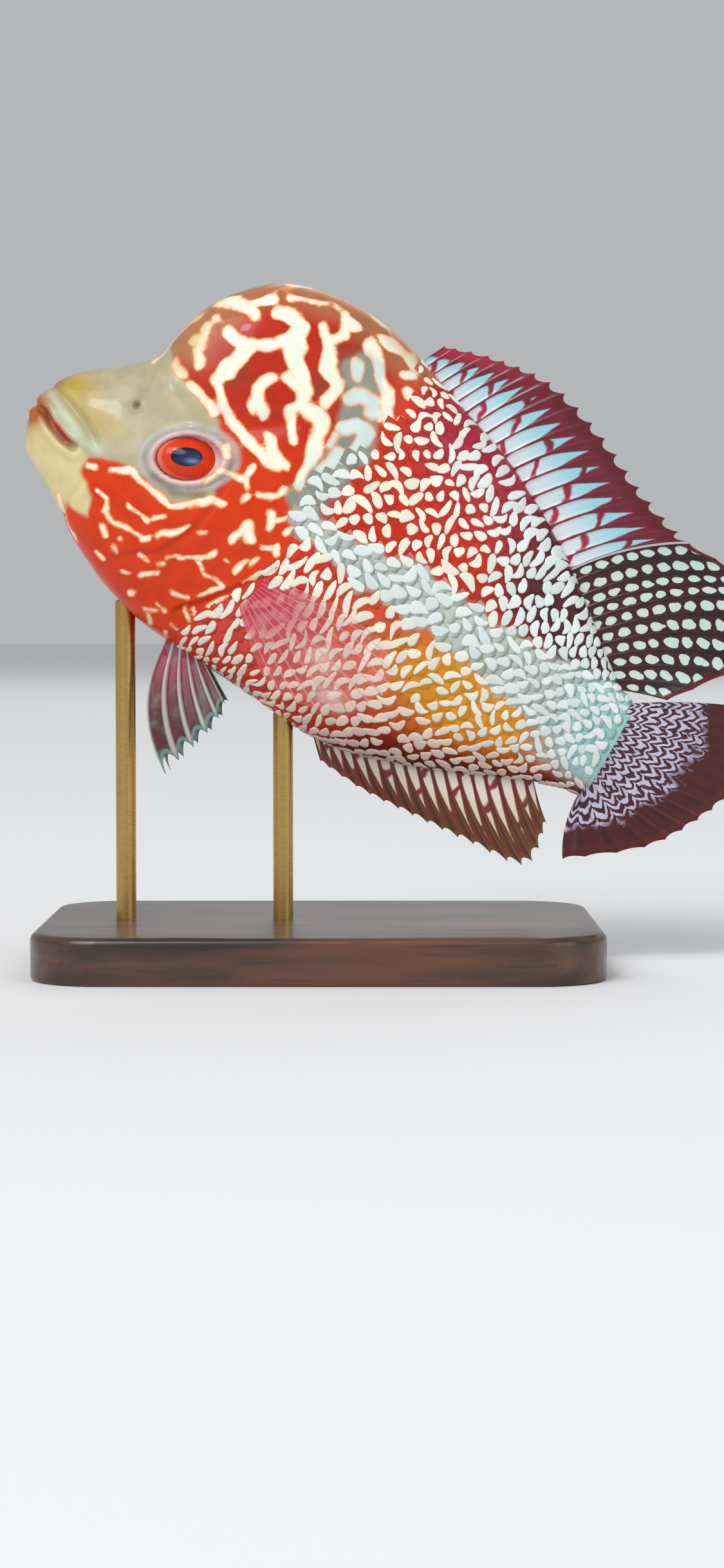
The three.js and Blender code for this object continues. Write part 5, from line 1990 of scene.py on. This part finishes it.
@dataclass
class Stand:
    """The display stand: a wooden base with rounded edges and two brass rods."""

    form: BodyForm
    long: float = 72.0
    deep: float = 52.0
    high: float = 6.0
    corner: float = 9.0
    bevel: float = 1.0
    foot_bevel: float = 0.6
    base_x: float = POSE.fish_x - 1
    rod_x: Pair = (POSE.fish_x - 26.3, POSE.fish_x - 5.85)
    rod_radius: float = 1.3
    rod_sink: float = 0.8
    rod_corners: int = 48

    def make(self) -> None:
        """Builds the base and the rods."""
        self.base()
        for x, word in zip(self.rod_x, ("front", "rear")):
            self.rod(x, word)

    def base(self) -> None:
        """Builds the base: a rounded rectangle carried up a profile with rounded edges."""
        arc, bend = np.linspace(0, math.pi / 2, 17), np.linspace(0, math.pi / 2, 7)
        inset = np.concatenate([[3.0, self.foot_bevel], self.foot_bevel * (1 - np.sin(bend)),
                                self.bevel * (1 - np.cos(bend)), [3.0, 12.0]])
        level = np.concatenate([[0.0, 0.0], self.foot_bevel * (1 - np.cos(bend)),
                                self.high - self.bevel * (1 - np.sin(bend)), [self.high] * 2])
        rows = []
        for inward, height in zip(inset, level):
            r = max(self.corner - inward, 0.5)
            w, d = self.long / 2 - inward - r, self.deep / 2 - inward - r
            ring = [np.stack([self.base_x + cx + r * np.cos(arc + k * math.pi / 2),
                              cy + r * np.sin(arc + k * math.pi / 2), np.full(len(arc), height)], 1)
                    for k, (cx, cy) in enumerate(((w, d), (-w, d), (-w, -d), (w, -d)))]
            rows.append(np.concatenate(ring))
        self.lathe(np.array(rows), "base_board", StainedWood(), "stand_base", "base")

    def rod(self, x: float, word: str) -> None:
        """Builds a rod: a round profile from the base to just inside the belly.

        Args:
            x: Its place along the base.
            word: Which rod it is.
        """
        keel = POSE.place(self.form.points[:, 0]) / MM
        top = float(np.interp(x, keel[:, 0], keel[:, 2])) + self.rod_sink
        foot, r = self.high, self.rod_radius
        profile = [(0.01, foot), (r, foot), (r, foot + 0.5), (r, top - 0.2), (r - 0.2, top), (0.01, top)]
        angle = np.linspace(0, 2 * math.pi, self.rod_corners, endpoint=False)
        rows = [np.stack([x + radius * np.cos(angle), radius * np.sin(angle), np.full(len(angle), height)], 1)
                for radius, height in profile]
        self.lathe(np.array(rows), f"rod_{word}", BrushedBrass(), f"stand_rod_{word}", "rod")

    @staticmethod
    def lathe(rows: Array, name: str, finish: Finish, node: str, slot: str) -> None:
        """Builds a closed piece from rings of points in millimetres, from its foot up, with sharp edges."""
        surface = Surface(rows.reshape(-1, 3) * MM, capped_tube(*rows.shape[:2]))
        surface.build(name, finish, (node,), slot).data.set_sharp_from_angle(angle=math.radians(40))


@dataclass
class Studio:
    """Floor, lights and camera. The camera frames the fish as the photograph does."""

    distance: float = 400.0
    rise: float = math.radians(3.0)
    aim_x: float = 4.42
    aim_z: float = -25.0
    pixels_per_mm: float = 11.94
    sensor: float = 36.0
    floor_reach: float = 6.0
    lamp_aim: tuple[float, float, float] = (0.0, 0.0, 0.045)
    # Name, place, size and power of each lamp: three soft ones, and a small one for glints.
    lamps: tuple[tuple[str, tuple[float, float, float], float, float], ...] = (
        ("key", (-0.9, -1.3, 1.5), 1.4, 24.0), ("fill", (1.4, -1.2, 0.7), 1.2, 5.5),
        ("rim", (0.4, 1.5, 1.3), 1.2, 6.0), ("glint", (-0.25, -0.6, 0.75), 0.12, 1.0))

    def make(self) -> None:
        """Builds the floor, the lights, the world and the camera."""
        self.floor()
        self.lights()
        self.camera()

    def floor(self) -> None:
        """Builds the pale floor, wide enough to fill every view."""
        mesh = bpy.data.meshes.new("floor")
        reach = self.floor_reach
        corners = [(-reach, -reach, 0), (reach, -reach, 0), (reach, reach, 0), (-reach, reach, 0)]
        mesh.from_pydata(corners, [], [(0, 1, 2, 3)])
        mesh.materials.append(PalePaper().material())
        floor = bpy.data.objects.new("floor", mesh)
        bpy.context.scene.collection.objects.link(floor)

    def lights(self) -> None:
        """Builds the lamps, each turned to the model, and an even pale world."""
        for name, place, size, power in self.lamps:
            lamp = bpy.data.lights.new(name, "AREA")
            lamp.size = size
            lamp.energy = power
            holder = bpy.data.objects.new(name, lamp)
            holder.location = place
            aim = np.subtract(self.lamp_aim, place)
            holder.rotation_euler = (math.atan2(math.hypot(aim[0], aim[1]), -aim[2]), 0,
                                     math.atan2(aim[1], aim[0]) - math.pi / 2)
            bpy.context.scene.collection.objects.link(holder)
        world = bpy.data.worlds.new("studio")
        world.use_nodes = True
        sky = world.node_tree.nodes["Background"]
        sky.inputs["Color"].default_value = (0.92, 0.94, 0.96, 1.0)
        sky.inputs["Strength"].default_value = 0.5
        bpy.context.scene.world = world
        bpy.context.scene.view_settings.view_transform = "Standard"

    def camera(self) -> None:
        """Places the camera as the photograph frames the fish, and works out its lens from the scale."""
        view = bpy.data.cameras.new("photo_camera")
        holder = bpy.data.objects.new("photo_camera", view)
        aim = np.array([POSE.fish_x + self.aim_x, 0.0, POSE.fish_z + self.aim_z])
        back = self.distance * np.array([0.0, -math.cos(self.rise), math.sin(self.rise)])
        holder.location = (aim + back) * MM
        holder.rotation_euler = (math.pi / 2 - self.rise, 0.0, 0.0)
        view.sensor_width = self.sensor
        view.lens = self.sensor * self.distance / (PHOTO_TALL / self.pixels_per_mm)
        view.clip_start = 0.01
        view.clip_end = 20.0
        bpy.context.scene.collection.objects.link(holder)
        bpy.context.scene.camera = holder


def main() -> None:
    """Builds the fish, its stand and the studio."""
    logging.basicConfig(level=logging.INFO, format="%(name)s: %(message)s")
    form = BodyForm()
    for part in (Skin(form), ScaleCoat(form), MidlineFins(form), PairedFins(), Eyes(), Stand(form), Studio()):
        part.make()


if __name__ == "__main__":
    main()
